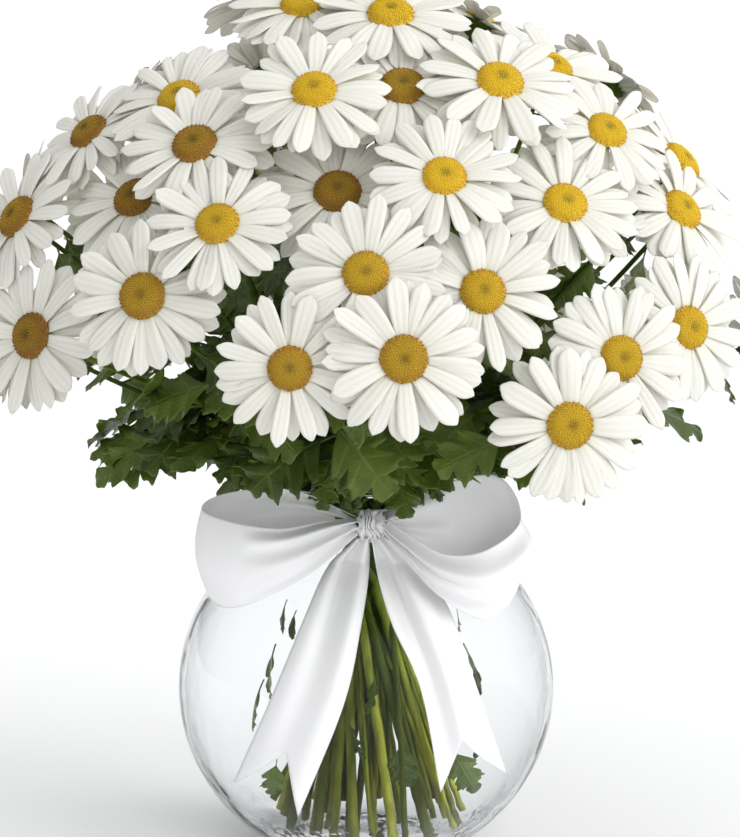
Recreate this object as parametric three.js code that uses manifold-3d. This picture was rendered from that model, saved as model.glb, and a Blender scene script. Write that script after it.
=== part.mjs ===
// Daisy centrepiece: sprays of white daisies in a round glass bowl of water, with a white satin bow.
// Millimetres, +Z up. The origin is the middle of the bowl's flat base, and the bow faces -Y.
import * as THREE from 'three';
import { mergeVertices } from 'three/addons/utils/BufferGeometryUtils.js';
import Module from 'manifold-3d';

const wasm = await Module();
wasm.setup();

// ---------------------------------------------------------------- driving dimensions

const GAP = 0.3; // air left between pieces that touch on the real thing

const BOWL = {
  sides: 20,
  bellyRadius: 90,
  bellyHalfHeight: 87,
  bellyZ: 77, // height of the widest ring
  baseRadius: 40,
  wall: 3,
  floor: 7, // thickness of the glass under the water
  neckRadius: 44,
  neckFrom: 155,
  neckTo: 174,
  lipRadius: 50,
  height: 180,
};
const WATER_LEVEL = 138;

// The ribbon is 38 mm wide. It is gathered to a narrow band round the neck and to a small knot in front.
const RIBBON = { thickness: 0.8, bandWidth: 13, bandThickness: 1.6, offBowl: 2.2 };
const KNOT = { x: 2, z: 166, halfWidth: 7, halfDepth: 6, halfHeight: 8 };

// The flower heads sit on an egg-shaped dome above the bowl's neck. It is flatter behind than in front.
const DOME = { centreZ: 200, halfWidth: 180, frontDepth: 165, backDepth: 132, halfHeight: 212 };

const DAISY = {
  radius: 34,
  rays: 10,
  hubRadius: 13.5, // the rays part from each other here
  rayThickness: 0.9,
  droop: 2.6, // the tips hang below the hub
  discRadius: 11.4,
  discHeight: 4.6,
  discSides: 8,
  sizeSpread: 0.05,
};

const STEM = {
  count: 14,
  firstTurn: -150,
  radius: 2.3,
  sides: 5,
  waistZ: 140,
  waistRadius: 8.6,
  slope: 0.32, // how far the stems lean out for each millimetre up
  branchZ: 212,
  spacing: 6, // height between two branches
};
const STALK = { radius: 1.8, sides: 5, leafAt: 0.5, cupRadius: 8, cupDepth: 7 };
const LEAF = { length: 58, thickness: 0.8, arch: 7, fold: 0.16 };

// ---------------------------------------------------------------- the flower sprays

// Each spray is one branched stem. A head is [turn, rise, reach]: degrees round from the front, positive to
// the right, degrees up the dome, and its distance out as a share of the dome's.
const SPRAYS = {
  front_low: [
    [-10, 15, 1.05],
    [5, 16, 1.06],
    [-1, 27, 1.04],
    [16, 24, 1.05],
  ],
  left_low: [
    [-33, 22, 1.03],
    [-24, 32, 1.02],
    [-34, 43, 1.01],
    [-50, 36, 1.0],
    [-54, 50, 0.99],
  ],
  left_side: [
    [-59, 17, 1.04],
    [-71, 28, 1.05],
    [-72, 42, 1.05],
  ],
  crown: [
    [-11, 51, 1.03],
    [11, 57, 1.03],
    [12, 73, 1.02],
    [-47, 77, 1.01],
    [34, 52, 1.03],
  ],
  right_high: [
    [-6, 40, 0.98],
    [13, 37, 0.98],
    [32, 36, 0.99],
    [52, 43, 1.0],
    [67, 55, 0.99],
    [66, 33, 1.01],
    [84, 37, 1.02],
  ],
  right_low: [
    [28, 8, 1.04],
    [39, 16, 1.03],
    [54, 16, 1.02],
  ],
};

// Behind, the heads stand apart in level rows: [rise, turn of the first head, turn between heads, how many].
const BACK_ROWS = [
  [68, 128, 96, 2],
  [48, 111, 46, 4],
  [29, 112, 30, 6],
  [11, 89, 33, 6],
];
const BACK_SIZE = 0.96;
// Each stem carries the heads between two turns.
const BACK_STEMS = [
  [80, 140],
  [140, 205],
  [205, 280],
];

// Leafy shoots without flowers hang out over the bowl's lip: [turn, height of the tip, reach of the tip, leaf
// size].
const SHOOTS = [
  [-82, 204, 80, 1.1],
  [-30, 194, 62, 1.0],
  [52, 196, 62, 1.0],
  [128, 196, 74, 1.1],
  [205, 196, 74, 1.1],
];

// ---------------------------------------------------------------- small helpers

const radians = THREE.MathUtils.degToRad;
const vector = (x, y, z) => new THREE.Vector3(x, y, z);

// A seeded random source: the same numbers in the same order each time.
function randomFrom(seed) {
  let state = seed >>> 0;
  return () => {
    state = (state + 0x6d2b79f5) >>> 0;
    let t = Math.imul(state ^ (state >>> 15), 1 | state);
    t = (t + Math.imul(t ^ (t >>> 7), 61 | t)) ^ t;
    return ((t ^ (t >>> 14)) >>> 0) / 4294967296;
  };
}
const spread = (random, amount) => (random() * 2 - 1) * amount;

function geometryOf(points, triangles) {
  const geometry = new THREE.BufferGeometry();
  const places = points.flatMap((p) => [p.x, p.y, p.z]);
  geometry.setAttribute('position', new THREE.Float32BufferAttribute(places, 3));
  geometry.setIndex(triangles.flat());
  return geometry;
}

function solidOf(geometry) {
  const bare = geometry.clone();
  bare.deleteAttribute('normal');
  bare.deleteAttribute('uv');
  const merged = mergeVertices(bare, 1e-4);
  return new wasm.Manifold(
    new wasm.Mesh({
      numProp: 3,
      vertProperties: merged.attributes.position.array,
      triVerts: new Uint32Array(merged.index.array),
    }),
  );
}

function geometryOfSolid(solid) {
  const mesh = solid.getMesh();
  const geometry = new THREE.BufferGeometry();
  geometry.setAttribute('position', new THREE.BufferAttribute(mesh.vertProperties, 3));
  geometry.setIndex(new THREE.BufferAttribute(mesh.triVerts, 1));
  geometry.computeVertexNormals();
  return geometry;
}

const fuse = (solids) => solids.reduce((all, next) => all.add(next));
const largest = (solid) => solid.decompose().reduce((a, b) => (b.volume() > a.volume() ? b : a));

// A closed solid through a row of rings with the same number of points, closed by a fan at each end.
function loft(rings) {
  const sides = rings[0].length;
  const triangles = [];
  for (let row = 0; row + 1 < rings.length; row += 1) {
    for (let side = 0; side < sides; side += 1) {
      const next = (side + 1) % sides;
      const [a, b] = [row * sides + side, row * sides + next];
      triangles.push([a, b, b + sides], [a, b + sides, a + sides]);
    }
  }
  const last = (rings.length - 1) * sides;
  for (let side = 1; side + 1 < sides; side += 1) {
    triangles.push([0, side + 1, side], [last, last + side, last + side + 1]);
  }
  return geometryOf(rings.flat(), triangles);
}

// A round tube along a curve, with a radius for each of its rings.
function tube(curve, radii, sides) {
  const frames = curve.computeFrenetFrames(radii.length - 1, false);
  const rings = radii.map((radius, row) => {
    const centre = curve.getPointAt(row / (radii.length - 1));
    return Array.from({ length: sides }, (_, side) => {
      const angle = (side / sides) * 2 * Math.PI;
      return centre
        .clone()
        .addScaledVector(frames.normals[row], radius * Math.cos(angle))
        .addScaledVector(frames.binormals[row], radius * Math.sin(angle));
    });
  });
  return loft(rings);
}

// One ring of points round a place, square to a direction.
function tubeRing(centre, direction, radius, sides) {
  const across = direction.clone().cross(vector(0, 0, 1)).normalize();
  const over = across.clone().cross(direction).normalize();
  return Array.from({ length: sides }, (_, side) => {
    const angle = (side / sides) * 2 * Math.PI;
    return centre
      .clone()
      .addScaledVector(across, radius * Math.cos(angle))
      .addScaledVector(over, -radius * Math.sin(angle));
  });
}

// A thin plate: the same triangles on the upper and the lower face, and a wall along the rim between them.
function plate(upper, lower, faces, rim) {
  const under = upper.length;
  const triangles = [...faces, ...faces.map(([a, b, c]) => [a + under, c + under, b + under])];
  rim.forEach((a, i) => {
    const b = rim[(i + 1) % rim.length];
    triangles.push([a, a + under, b + under], [a, b + under, b]);
  });
  return geometryOf([...upper, ...lower], triangles);
}

// A strip of ribbon through rows of points, each row running across the ribbon.
function strip(rows, thickness) {
  const across = rows[0].length;
  const last = rows.length - 1;
  const normalAt = (row, column) => {
    const along = rows[Math.min(row + 1, last)][column].clone().sub(rows[Math.max(row - 1, 0)][column]);
    const side = rows[row][Math.min(column + 1, across - 1)].clone().sub(rows[row][Math.max(column - 1, 0)]);
    return side.cross(along).normalize();
  };
  const faceAt = (offset) =>
    rows.flatMap((row, r) => row.map((point, c) => point.clone().addScaledVector(normalAt(r, c), offset)));
  const faces = [];
  for (let r = 0; r < last; r += 1) {
    for (let c = 0; c + 1 < across; c += 1) {
      const a = r * across + c;
      faces.push([a, a + 1, a + across + 1], [a, a + across + 1, a + across]);
    }
  }
  const column = (c) => rows.map((_, r) => r * across + c);
  const end = rows[0].map((_, c) => c);
  const rim = [
    ...end,
    ...column(across - 1).slice(1),
    ...end.map((c) => last * across + across - 1 - c).slice(1),
    ...column(0).reverse().slice(1, -1),
  ];
  return plate(faceAt(thickness / 2), faceAt(-thickness / 2), faces, rim);
}

// ---------------------------------------------------------------- the glass bowl and its water

// Radius of the belly at a height, with the wall taken off on the inside.
function bellyRadiusAt(z, inset) {
  const up = (z - BOWL.bellyZ) / (BOWL.bellyHalfHeight - inset);
  return (BOWL.bellyRadius - inset) * Math.sqrt(Math.max(0, 1 - up * up));
}

// Points up the belly between two heights, evenly spaced in angle.
function bellyArc(fromZ, toZ, steps, inset) {
  const half = BOWL.bellyHalfHeight - inset;
  const from = Math.asin((fromZ - BOWL.bellyZ) / half);
  const to = Math.asin((toZ - BOWL.bellyZ) / half);
  return Array.from({ length: steps + 1 }, (_, i) => {
    const angle = THREE.MathUtils.lerp(from, to, i / steps);
    const radius = (BOWL.bellyRadius - inset) * Math.cos(angle);
    return new THREE.Vector2(radius, BOWL.bellyZ + half * Math.sin(angle));
  });
}

// LatheGeometry turns round Y; this stands it up on Z.
const turned = (profile) => new THREE.LatheGeometry(profile, BOWL.sides).rotateX(Math.PI / 2);

function glassBowl() {
  const point = (r, z) => new THREE.Vector2(r, z);
  const depth = Math.sqrt(1 - (BOWL.baseRadius / BOWL.bellyRadius) ** 2) * BOWL.bellyHalfHeight;
  const outer = bellyArc(BOWL.bellyZ - depth, BOWL.neckFrom - 3, 7, 0);
  outer.forEach((p) => p.setY(Math.max(p.y, 0)));
  const inner = bellyArc(BOWL.floor, BOWL.neckFrom - 3, 7, BOWL.wall).reverse();
  const lip = [
    point(BOWL.neckRadius, BOWL.neckFrom),
    point(BOWL.neckRadius, BOWL.neckTo),
    point(BOWL.lipRadius, BOWL.height - 1),
    point(BOWL.lipRadius - BOWL.wall, BOWL.height),
    point(BOWL.neckRadius - BOWL.wall, BOWL.neckTo),
    point(BOWL.neckRadius - BOWL.wall, BOWL.neckFrom),
  ];
  return turned([point(0, 0), ...outer, ...lip, ...inner, point(0, BOWL.floor)]);
}

// The water follows the inside of the belly up to its level, with a plain hole round each stem.
function water(holes) {
  const side = bellyArc(BOWL.floor + GAP, BOWL.neckFrom - 3, 7, BOWL.wall + GAP);
  const ends = [BOWL.floor + GAP, BOWL.neckFrom - 3].map((z) => new THREE.Vector2(0, z));
  const cavity = solidOf(turned([ends[0], ...side, ends[1]]));
  const above = solidOf(new THREE.BoxGeometry(200, 200, 100).translate(0, 0, WATER_LEVEL + 50));
  return geometryOfSolid(largest(cavity.subtract(above).subtract(holes)));
}

// ---------------------------------------------------------------- the ribbon

const BAND_RADIUS = BOWL.neckRadius + GAP;
const BAND_FRONT = -(BAND_RADIUS + RIBBON.bandThickness);
const KNOT_Y = BAND_FRONT - GAP - KNOT.halfDepth;

function ribbonBand() {
  const [low, high] = [KNOT.z - RIBBON.bandWidth / 2, KNOT.z + RIBBON.bandWidth / 2];
  const outer = BAND_RADIUS + RIBBON.bandThickness;
  const profile = [[BAND_RADIUS, low], [outer, low], [outer, high], [BAND_RADIUS, high]];
  return turned([...profile, profile[0]].map(([r, z]) => new THREE.Vector2(r, z)));
}

function bowKnot() {
  return new THREE.SphereGeometry(1, 8, 6)
    .rotateX(Math.PI / 2)
    .scale(KNOT.halfWidth, KNOT.halfDepth, KNOT.halfHeight)
    .translate(KNOT.x, KNOT_Y, KNOT.z);
}

// A length of ribbon between two edge curves. The middle stands out by the belly, and notch shortens its far
// end.
function ribbonBetween(lower, upper, steps, belly, notch) {
  const [low, high] = [lower, upper].map((points) => new THREE.CatmullRomCurve3(points));
  const rows = Array.from({ length: steps + 1 }, (_, i) => {
    const t = i / steps;
    const [a, b] = [low.getPoint(t), high.getPoint(t)];
    const along = low.getTangent(t).add(high.getTangent(t)).normalize();
    const out = b.clone().sub(a).cross(along).normalize();
    const swell = belly * Math.sin(Math.PI * (notch ? t / 2 : t)); // a tail's free end stays rounded
    const middle = a.clone().lerp(b, 0.5).addScaledVector(out, swell);
    if (i === steps) middle.addScaledVector(along, -notch);
    return [a, middle, b];
  });
  return strip(rows, RIBBON.thickness);
}

// One loop, from the front of the knot out to the side, round, and back behind itself to the knot. Each edge
// is a row of [outward, back, up], counted from the knot's side.
function bowLoop(side, lower, upper) {
  const place = ([x, y, z]) => vector(KNOT.x + side * (KNOT.halfWidth + x), KNOT_Y + y, KNOT.z + z);
  const edges = [lower, upper].map((points) => points.map(place));
  return ribbonBetween(...(side < 0 ? edges : edges.reverse()), 14, 4, 0);
}

// One tail hangs from under the knot over the bowl's belly and ends in a fishtail cut. Its edges are [x, z].
function ribbonTail(left, right, notch) {
  const place = ([x, z]) => {
    const belly = bellyRadiusAt(Math.max(z, BOWL.bellyZ), 0) + RIBBON.offBowl;
    return vector(x, -Math.sqrt(Math.max(belly, -KNOT_Y) ** 2 - x * x), z);
  };
  return ribbonBetween(right.map(place), left.map(place), 8, 2, notch);
}

const LOOP_LEFT = {
  lower: [
    [-0.4, -2, -3],
    [11, -9, -12],
    [30, -17, -24],
    [56, -15, -35],
    [68, -4, -30],
    [58, 7, -22],
    [30, 8, -12],
    [-0.9, 3, -2],
  ],
  upper: [
    [-0.4, -2, 4],
    [14, -8, 4],
    [34, -15, 2],
    [54, -15, 5],
    [70, -4, 9],
    [60, 7, 14],
    [30, 8, 16],
    [-0.9, 3, 4],
  ],
};
const LOOP_RIGHT = {
  lower: [
    [-0.4, -2, -3],
    [9, -9, -14],
    [26, -17, -30],
    [47, -16, -40],
    [62, -5, -26],
    [53, 6, -18],
    [28, 8, -18],
    [-0.9, 3, -2],
  ],
  upper: [
    [-0.4, -2, 4],
    [10, -8, -2],
    [27, -15, -10],
    [46, -15, -8],
    [62, -4, 4],
    [52, 7, 22],
    [26, 8, 18],
    [-0.9, 3, 4],
  ],
};
const TAIL_LEFT = {
  left: [
    [-4, 157.5],
    [-18, 146],
    [-27, 130],
    [-40, 100],
    [-61, 50],
  ],
  right: [
    [1.5, 157.5],
    [1, 146],
    [-2, 126],
    [-10, 92],
    [-31, 38],
  ],
};
const TAIL_RIGHT = {
  left: [
    [2.7, 157.5],
    [6, 144],
    [12, 126],
    [25, 98],
    [34, 50],
  ],
  right: [
    [8, 157.5],
    [24, 146],
    [38, 130],
    [50, 98],
    [65, 52],
  ],
};

// ---------------------------------------------------------------- the flower heads

// A point on the dome and the direction that a head there looks in.
function seatOn(turn, rise, reach) {
  const [t, r] = [radians(turn), radians(rise)];
  const round = vector(Math.sin(t) * Math.cos(r), -Math.cos(t) * Math.cos(r), Math.sin(r));
  const size = vector(DOME.halfWidth, round.y < 0 ? DOME.frontDepth : DOME.backDepth, DOME.halfHeight);
  const place = round.clone().multiply(size).multiplyScalar(reach).add(vector(0, 0, DOME.centreZ));
  return { place, facing: round.clone().divide(size).normalize() };
}

// Puts a shape made at the origin, looking up +Z, onto a head's seat.
function seated(geometry, head, lift) {
  const turn = new THREE.Quaternion().setFromUnitVectors(vector(0, 0, 1), head.facing);
  const spin = new THREE.Quaternion().setFromAxisAngle(vector(0, 0, 1), head.spin);
  const place = head.place.clone().addScaledVector(head.facing, lift);
  const size = vector(head.size, head.size, head.size);
  return geometry.clone().applyMatrix4(new THREE.Matrix4().compose(place, turn.multiply(spin), size));
}

// The outline of one daisy's rays: each has a valley beside it and two corners at its blunt tip. Every second
// ray lies lower.
function rayOutline(seed) {
  const random = randomFrom(seed);
  const { rays, hubRadius, radius, droop } = DAISY;
  const pitch = (2 * Math.PI) / rays;
  const polar = (r, angle, z) => vector(r * Math.cos(angle), r * Math.sin(angle), z);
  return Array.from({ length: rays }, (_, ray) => {
    const angle = ray * pitch + spread(random, 0.05);
    const level = (ray % 2 ? 0.9 : -0.9) - droop + spread(random, 0.8);
    const twist = spread(random, 1.2);
    return [
      polar(hubRadius, (ray - 0.5) * pitch, 0),
      polar(radius * (1 - random() * 0.1), angle - pitch * 0.36, level + twist),
      polar(radius * (1 - random() * 0.1), angle + pitch * 0.36, level - twist),
    ];
  }).flat();
}

const rayFaces = (count) =>
  Array.from({ length: count / 3 }, (_, ray) => {
    const first = 3 * ray;
    return [[first, first + 1, first + 2], [first, first + 2, (first + 3) % count]];
  }).flat();
const lowered = (points) => points.map((p) => vector(p.x, p.y, p.z - DAISY.rayThickness));

// The white rays alone: one thin plate, cut between the rays as far as the hub.
function daisyRays(seed) {
  const outline = rayOutline(seed);
  const centre = outline.length;
  const hub = Array.from({ length: DAISY.rays }, (_, ray) => [centre, 3 * ray, (3 * ray + 3) % centre]);
  const upper = [...outline, vector(0, 0, 0)];
  return plate(upper, lowered(upper), [...rayFaces(centre), ...hub], outline.map((_, i) => i));
}

// A whole daisy in one piece: the rays with the disc raised on their hub.
function wholeDaisy(seed) {
  const outline = rayOutline(seed);
  const { rays, discRadius, discHeight } = DAISY;
  const edge = outline.length;
  const ring = (r, z, relief) =>
    Array.from({ length: rays }, (_, i) => {
      const angle = ((i - 0.5) / rays) * 2 * Math.PI;
      return vector(r * Math.cos(angle), r * Math.sin(angle), z + (i % 2 ? relief : -relief));
    });
  const under = lowered([...outline, vector(0, 0, 0)]);
  const brim = [...ring(discRadius, 0, 0), ...ring(discRadius * 0.8, discHeight * 0.7, 0.4)];
  const points = [...outline, ...under, ...brim, vector(0, 0, discHeight)];
  const [underCentre, foot, brow] = [2 * edge, 2 * edge + 1, 2 * edge + 1 + rays];
  const triangles = rayFaces(edge).flatMap(([a, b, c]) => [[a, b, c], [a + edge, c + edge, b + edge]]);
  for (let i = 0; i < edge; i += 1) {
    const next = (i + 1) % edge;
    triangles.push([i, i + edge, next + edge], [i, next + edge, next]);
  }
  for (let i = 0; i < rays; i += 1) {
    const next = (i + 1) % rays;
    triangles.push([3 * i, 3 * next, foot + next], [3 * i, foot + next, foot + i]);
    triangles.push([foot + i, foot + next, brow + next], [foot + i, brow + next, brow + i]);
    triangles.push([brow + i, brow + next, brow + rays], [underCentre, 3 * next + edge, 3 * i + edge]);
  }
  return geometryOf(points, triangles);
}

// The yellow disc: a low dome whose surface is raised and lowered in turn, like its florets, round a dimple.
function daisyDisc() {
  const { discRadius, discHeight, discSides } = DAISY;
  const ring = (count, r, z, relief) =>
    Array.from({ length: count }, (_, i) => {
      const angle = (i / count) * 2 * Math.PI;
      return vector(r * Math.cos(angle), r * Math.sin(angle), z + (i % 2 ? relief : -relief));
    });
  const half = discSides / 2;
  const points = [
    ...ring(discSides, discRadius, 0, 0),
    ...ring(discSides, discRadius * 0.9, discHeight * 0.6, 0.35),
    ...ring(half, discRadius * 0.45, discHeight * 0.94, 0.3),
    vector(0, 0, discHeight * 0.82),
  ];
  const triangles = [];
  for (let i = 0; i < discSides; i += 1) {
    const next = (i + 1) % discSides;
    triangles.push([i, next, discSides + next], [i, discSides + next, discSides + i]);
    if (i > 0 && i + 1 < discSides) triangles.push([0, i + 1, i]);
  }
  for (let i = 0; i < half; i += 1) {
    const [a, b] = [2 * discSides + i, 2 * discSides + ((i + 1) % half)];
    const [c, d, e] = [2 * i, 2 * i + 1, (2 * i + 2) % discSides].map((k) => discSides + k);
    triangles.push([a, c, d], [a, d, b], [b, d, e], [a, b, 2 * discSides + half]);
  }
  return geometryOf(points, triangles);
}

// ---------------------------------------------------------------- stems, stalks and leaves

// The stems lean past each other in a spiral, as in a hand-tied bunch, and are closest at the waist. Each has
// its own place in the ring, counted round from the left.
function stemLine(place) {
  const turn = radians(STEM.firstTurn + (360 * place) / STEM.count);
  const out = vector(Math.sin(turn), -Math.cos(turn), 0);
  const aside = vector(-out.y, out.x, 0).multiplyScalar(STEM.waistRadius);
  return (z) => aside.clone().addScaledVector(out, (z - STEM.waistZ) * STEM.slope).setZ(z);
}

function mainStem(line, radius, foot) {
  const ring = (z, r) =>
    Array.from({ length: STEM.sides }, (_, side) => {
      const angle = (side / STEM.sides) * 2 * Math.PI;
      return line(z).add(vector(r * Math.cos(angle), r * Math.sin(angle), 0));
    });
  return loft([ring(foot, radius), ring(STEM.branchZ, radius * 0.85)]);
}

// A flower stalk runs straight from its stem to behind its head, bends there to meet it square, and widens
// into the green cup that holds the rays.
function flowerStalk(from, head) {
  const back = DAISY.rayThickness * head.size + GAP;
  const behind = (distance) => head.place.clone().addScaledVector(head.facing, -back - distance);
  const neck = behind(STALK.cupDepth);
  const along = neck.clone().sub(from).normalize();
  const start = tubeRing(from, along, STALK.radius * 1.2, STALK.sides);
  const narrow = tubeRing(neck, along.clone().add(head.facing).normalize(), STALK.radius, STALK.sides);
  const cup = tubeRing(behind(0), head.facing, STALK.cupRadius * head.size, STALK.sides);
  return { stalk: solidOf(loft([start, narrow, cup])), leafRoot: from.clone().lerp(neck, STALK.leafAt) };
}

// Half a leaf's outline, from base to tip, as [along, across] shares of its length: two lobes a side.
const LEAF_LOBES = [
  [0.14, 0.05],
  [0.32, 0.3],
  [0.44, 0.15],
  [0.68, 0.36],
  [0.76, 0.17],
];
const LEAF_RIB = [0, 0.5, 1];

function leafBlade(length, bend) {
  const rise = (u) => Math.sin(u * Math.PI * 0.9) * LEAF.arch - u * u * bend;
  const at = ([u, v]) => vector(u * length, v * length, rise(u) - Math.abs(v) * length * LEAF.fold);
  const half = LEAF_LOBES.length;
  const upper = [...LEAF_RIB.map((u) => at([u, 0]))];
  const sides = [1, -1].map((hand) => {
    const first = upper.length;
    LEAF_LOBES.forEach(([u, v]) => upper.push(at([u, v * hand])));
    return Array.from({ length: half }, (_, i) => first + i);
  });
  const faces = sides.flatMap((edge, hand) => {
    const loop = [0, ...edge, 2, 1];
    const flat = loop.map((i) => new THREE.Vector2(upper[i].x, Math.abs(upper[i].y)));
    return THREE.ShapeUtils.triangulateShape(flat, []).map((face) => {
      const [a, b, c] = face.map((k) => loop[k]);
      const left = (upper[b].x - upper[a].x) * (upper[c].y - upper[a].y);
      const right = (upper[b].y - upper[a].y) * (upper[c].x - upper[a].x);
      return left > right ? [a, b, c] : [a, c, b];
    });
  });
  const rim = [0, ...sides[1], 2, ...sides[0].reverse()];
  const lower = upper.map((p) => vector(p.x, p.y, p.z - LEAF.thickness));
  return plate(upper, lower, faces, rim);
}

// A leaf grown from a point, looking along a direction: turn round from the front and pitch above level.
function leafAt(root, turn, pitch, size, bend) {
  const facing = new THREE.Euler(0, -radians(pitch), radians(turn - 90), 'ZYX');
  const matrix = new THREE.Matrix4().makeRotationFromEuler(facing).setPosition(root);
  return solidOf(leafBlade(LEAF.length * size, bend).applyMatrix4(matrix));
}

// A leafy shoot: its stem bends out over the bowl's lip, with leaves fanned round its tip.
function leafyShoot(line, [turn, tipZ, tipReach, size], random) {
  const out = vector(Math.sin(radians(turn)), -Math.cos(radians(turn)), 0);
  const start = line(BOWL.height - 4);
  const tip = out.clone().multiplyScalar(tipReach).setZ(tipZ);
  const middle = start.clone().lerp(tip, 0.5).add(vector(0, 0, 5));
  const branch = tube(new THREE.CatmullRomCurve3([start, middle, tip]), [2.2, 2, 1.7], STALK.sides);
  const fan = [
    [tip, -44, -6, 1],
    [tip, 4, -16, 1.05],
    [tip, 48, -4, 0.95],
  ];
  const leaves = fan.map(([root, aside, pitch, share]) => {
    const leafTurn = turn + aside + spread(random, 6);
    const leafPitch = pitch + spread(random, 6);
    return leafAt(root, leafTurn, leafPitch, size * share, 8 + spread(random, 5));
  });
  return fuse([solidOf(branch), ...leaves]);
}

// ---------------------------------------------------------------- assembly

const surface = (color, roughness, more) =>
  new THREE.MeshStandardMaterial({ color, roughness, metalness: 0, ...more });
const MATERIALS = {
  glass: surface(0xe8f0f0, 0.05, { transparent: true, opacity: 0.3 }),
  water: surface(0xdfe9ea, 0.02, { transparent: true, opacity: 0.25 }),
  satin: surface(0xeceaf0, 0.35, { side: THREE.DoubleSide }),
  rays: surface(0xf7f5ee, 0.6),
  disc: surface(0xd9a420, 0.8),
  leaf: surface(0x3c5a26, 0.6),
};

const centrepiece = new THREE.Group();
centrepiece.name = 'daisy_centrepiece';

function addPiece(name, geometry, material) {
  const mesh = new THREE.Mesh(geometry, material);
  mesh.name = name;
  centrepiece.add(mesh);
}

const random = randomFrom(7);
const greens = [];
const holes = [];

const backHeads = BACK_ROWS.flatMap(([rise, first, step, count], row) =>
  Array.from({ length: count }, (_, i) => [first + i * step, rise, (row + i) % 2 ? 1.04 : 0.98]),
);
const backSprays = BACK_STEMS.map(([from, to]) => backHeads.filter(([turn]) => turn >= from && turn < to));

// The stems stand round the ring in the order of what they carry.
const meanTurn = (heads) => heads.reduce((sum, [turn]) => sum + turn, 0) / heads.length;
const allSprays = [...Object.values(SPRAYS), ...backSprays];
const bearings = [...allSprays.map(meanTurn), ...SHOOTS.map(([turn]) => turn)];
const order = [...bearings].sort((a, b) => a - b);

function plantStem(bearing) {
  const line = stemLine(order.indexOf(bearing));
  greens.push(solidOf(mainStem(line, STEM.radius, BOWL.floor + GAP)));
  holes.push(solidOf(mainStem(line, STEM.radius + GAP * 1.3, 0)));
  return line;
}

// Plants one spray's stem and stalks, with a leaf on every third stalk, and returns where its heads sit.
function growSpray(places, sprayIndex, size) {
  const line = plantStem(meanTurn(places));
  return places.map(([turn, rise, reach], i) => {
    const head = {
      ...seatOn(turn, rise, reach),
      spin: spread(random, Math.PI),
      size: size + spread(random, DAISY.sizeSpread),
      seed: 100 * sprayIndex + i + 1,
    };
    const above = places.filter((other) => other[1] > rise).length; // the lowest heads branch off first
    const { stalk, leafRoot } = flowerStalk(line(STEM.branchZ - 4 - above * STEM.spacing), head);
    greens.push(stalk);
    if (i % 3 === 1) greens.push(leafAt(leafRoot, turn + (i % 2 ? 40 : -40), 12, 0.9, 4));
    return head;
  });
}

Object.entries(SPRAYS).forEach(([name, places], sprayIndex) => {
  const heads = growSpray(places, sprayIndex, 1);
  const rays = fuse(heads.map((head) => solidOf(seated(daisyRays(head.seed), head, 0))));
  addPiece(`rays_${name}`, geometryOfSolid(rays), MATERIALS.rays);
  heads.forEach((head, i) => {
    addPiece(`disc_${name}_${i + 1}`, seated(daisyDisc(), head, GAP), MATERIALS.disc);
  });
});

const behind = backSprays.flatMap((places, i) => growSpray(places, i + 10, BACK_SIZE));
behind.forEach((head, i) => {
  addPiece(`daisy_back_${i + 1}`, seated(wholeDaisy(head.seed), head, 0), MATERIALS.rays);
});

SHOOTS.forEach((shoot) => greens.push(leafyShoot(plantStem(shoot[0]), shoot, random)));

addPiece('leafy_stems', geometryOfSolid(largest(fuse(greens))), MATERIALS.leaf);
addPiece('glass_bowl', glassBowl(), MATERIALS.glass);
addPiece('water', water(fuse(holes)), MATERIALS.water);
addPiece('ribbon_band', ribbonBand(), MATERIALS.satin);
addPiece('bow_knot', bowKnot(), MATERIALS.satin);
addPiece('bow_loop_left', bowLoop(-1, LOOP_LEFT.lower, LOOP_LEFT.upper), MATERIALS.satin);
addPiece('bow_loop_right', bowLoop(1, LOOP_RIGHT.lower, LOOP_RIGHT.upper), MATERIALS.satin);
addPiece('ribbon_tail_left', ribbonTail(TAIL_LEFT.left, TAIL_LEFT.right, 14), MATERIALS.satin);
addPiece('ribbon_tail_right', ribbonTail(TAIL_RIGHT.left, TAIL_RIGHT.right, 14), MATERIALS.satin);

export default centrepiece;
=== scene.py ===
# %% [markdown]
# # A daisy centrepiece, cell by cell
#
# White daisies on leafy stems stand in a round glass bowl of water, and a white satin bow is tied round the
# bowl's neck. The imported model already has every form in its true place. This script dresses it: petals
# with ridges, discs made of florets, lobed leaves, clear glass and folded satin.
#
# The first cell loads the imported model, lays each part's placement into its mesh and removes all that isn't
# a mesh.

import math
import random

import bpy
import numpy as np
from mathutils import Matrix, Quaternion, Vector


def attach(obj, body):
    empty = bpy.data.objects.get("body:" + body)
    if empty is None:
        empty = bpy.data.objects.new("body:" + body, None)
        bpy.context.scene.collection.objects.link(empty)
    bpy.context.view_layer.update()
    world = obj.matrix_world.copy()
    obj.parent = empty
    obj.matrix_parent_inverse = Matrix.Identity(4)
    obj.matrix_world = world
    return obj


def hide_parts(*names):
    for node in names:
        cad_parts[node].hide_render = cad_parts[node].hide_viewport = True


MM = 0.001
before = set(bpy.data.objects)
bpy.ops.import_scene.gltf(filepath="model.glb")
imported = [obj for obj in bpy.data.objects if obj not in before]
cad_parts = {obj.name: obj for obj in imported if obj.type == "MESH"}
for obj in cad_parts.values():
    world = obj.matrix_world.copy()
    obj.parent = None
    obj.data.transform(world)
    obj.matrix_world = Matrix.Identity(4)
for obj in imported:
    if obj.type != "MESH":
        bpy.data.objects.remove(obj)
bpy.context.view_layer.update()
scene = bpy.context.scene

# %% [markdown]
# The camera comes first, so that every later cell can be judged in the frame. It looks down by ten degrees
# from a metre and a half, with a long lens that flattens the bunch as a studio photograph does.

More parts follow.
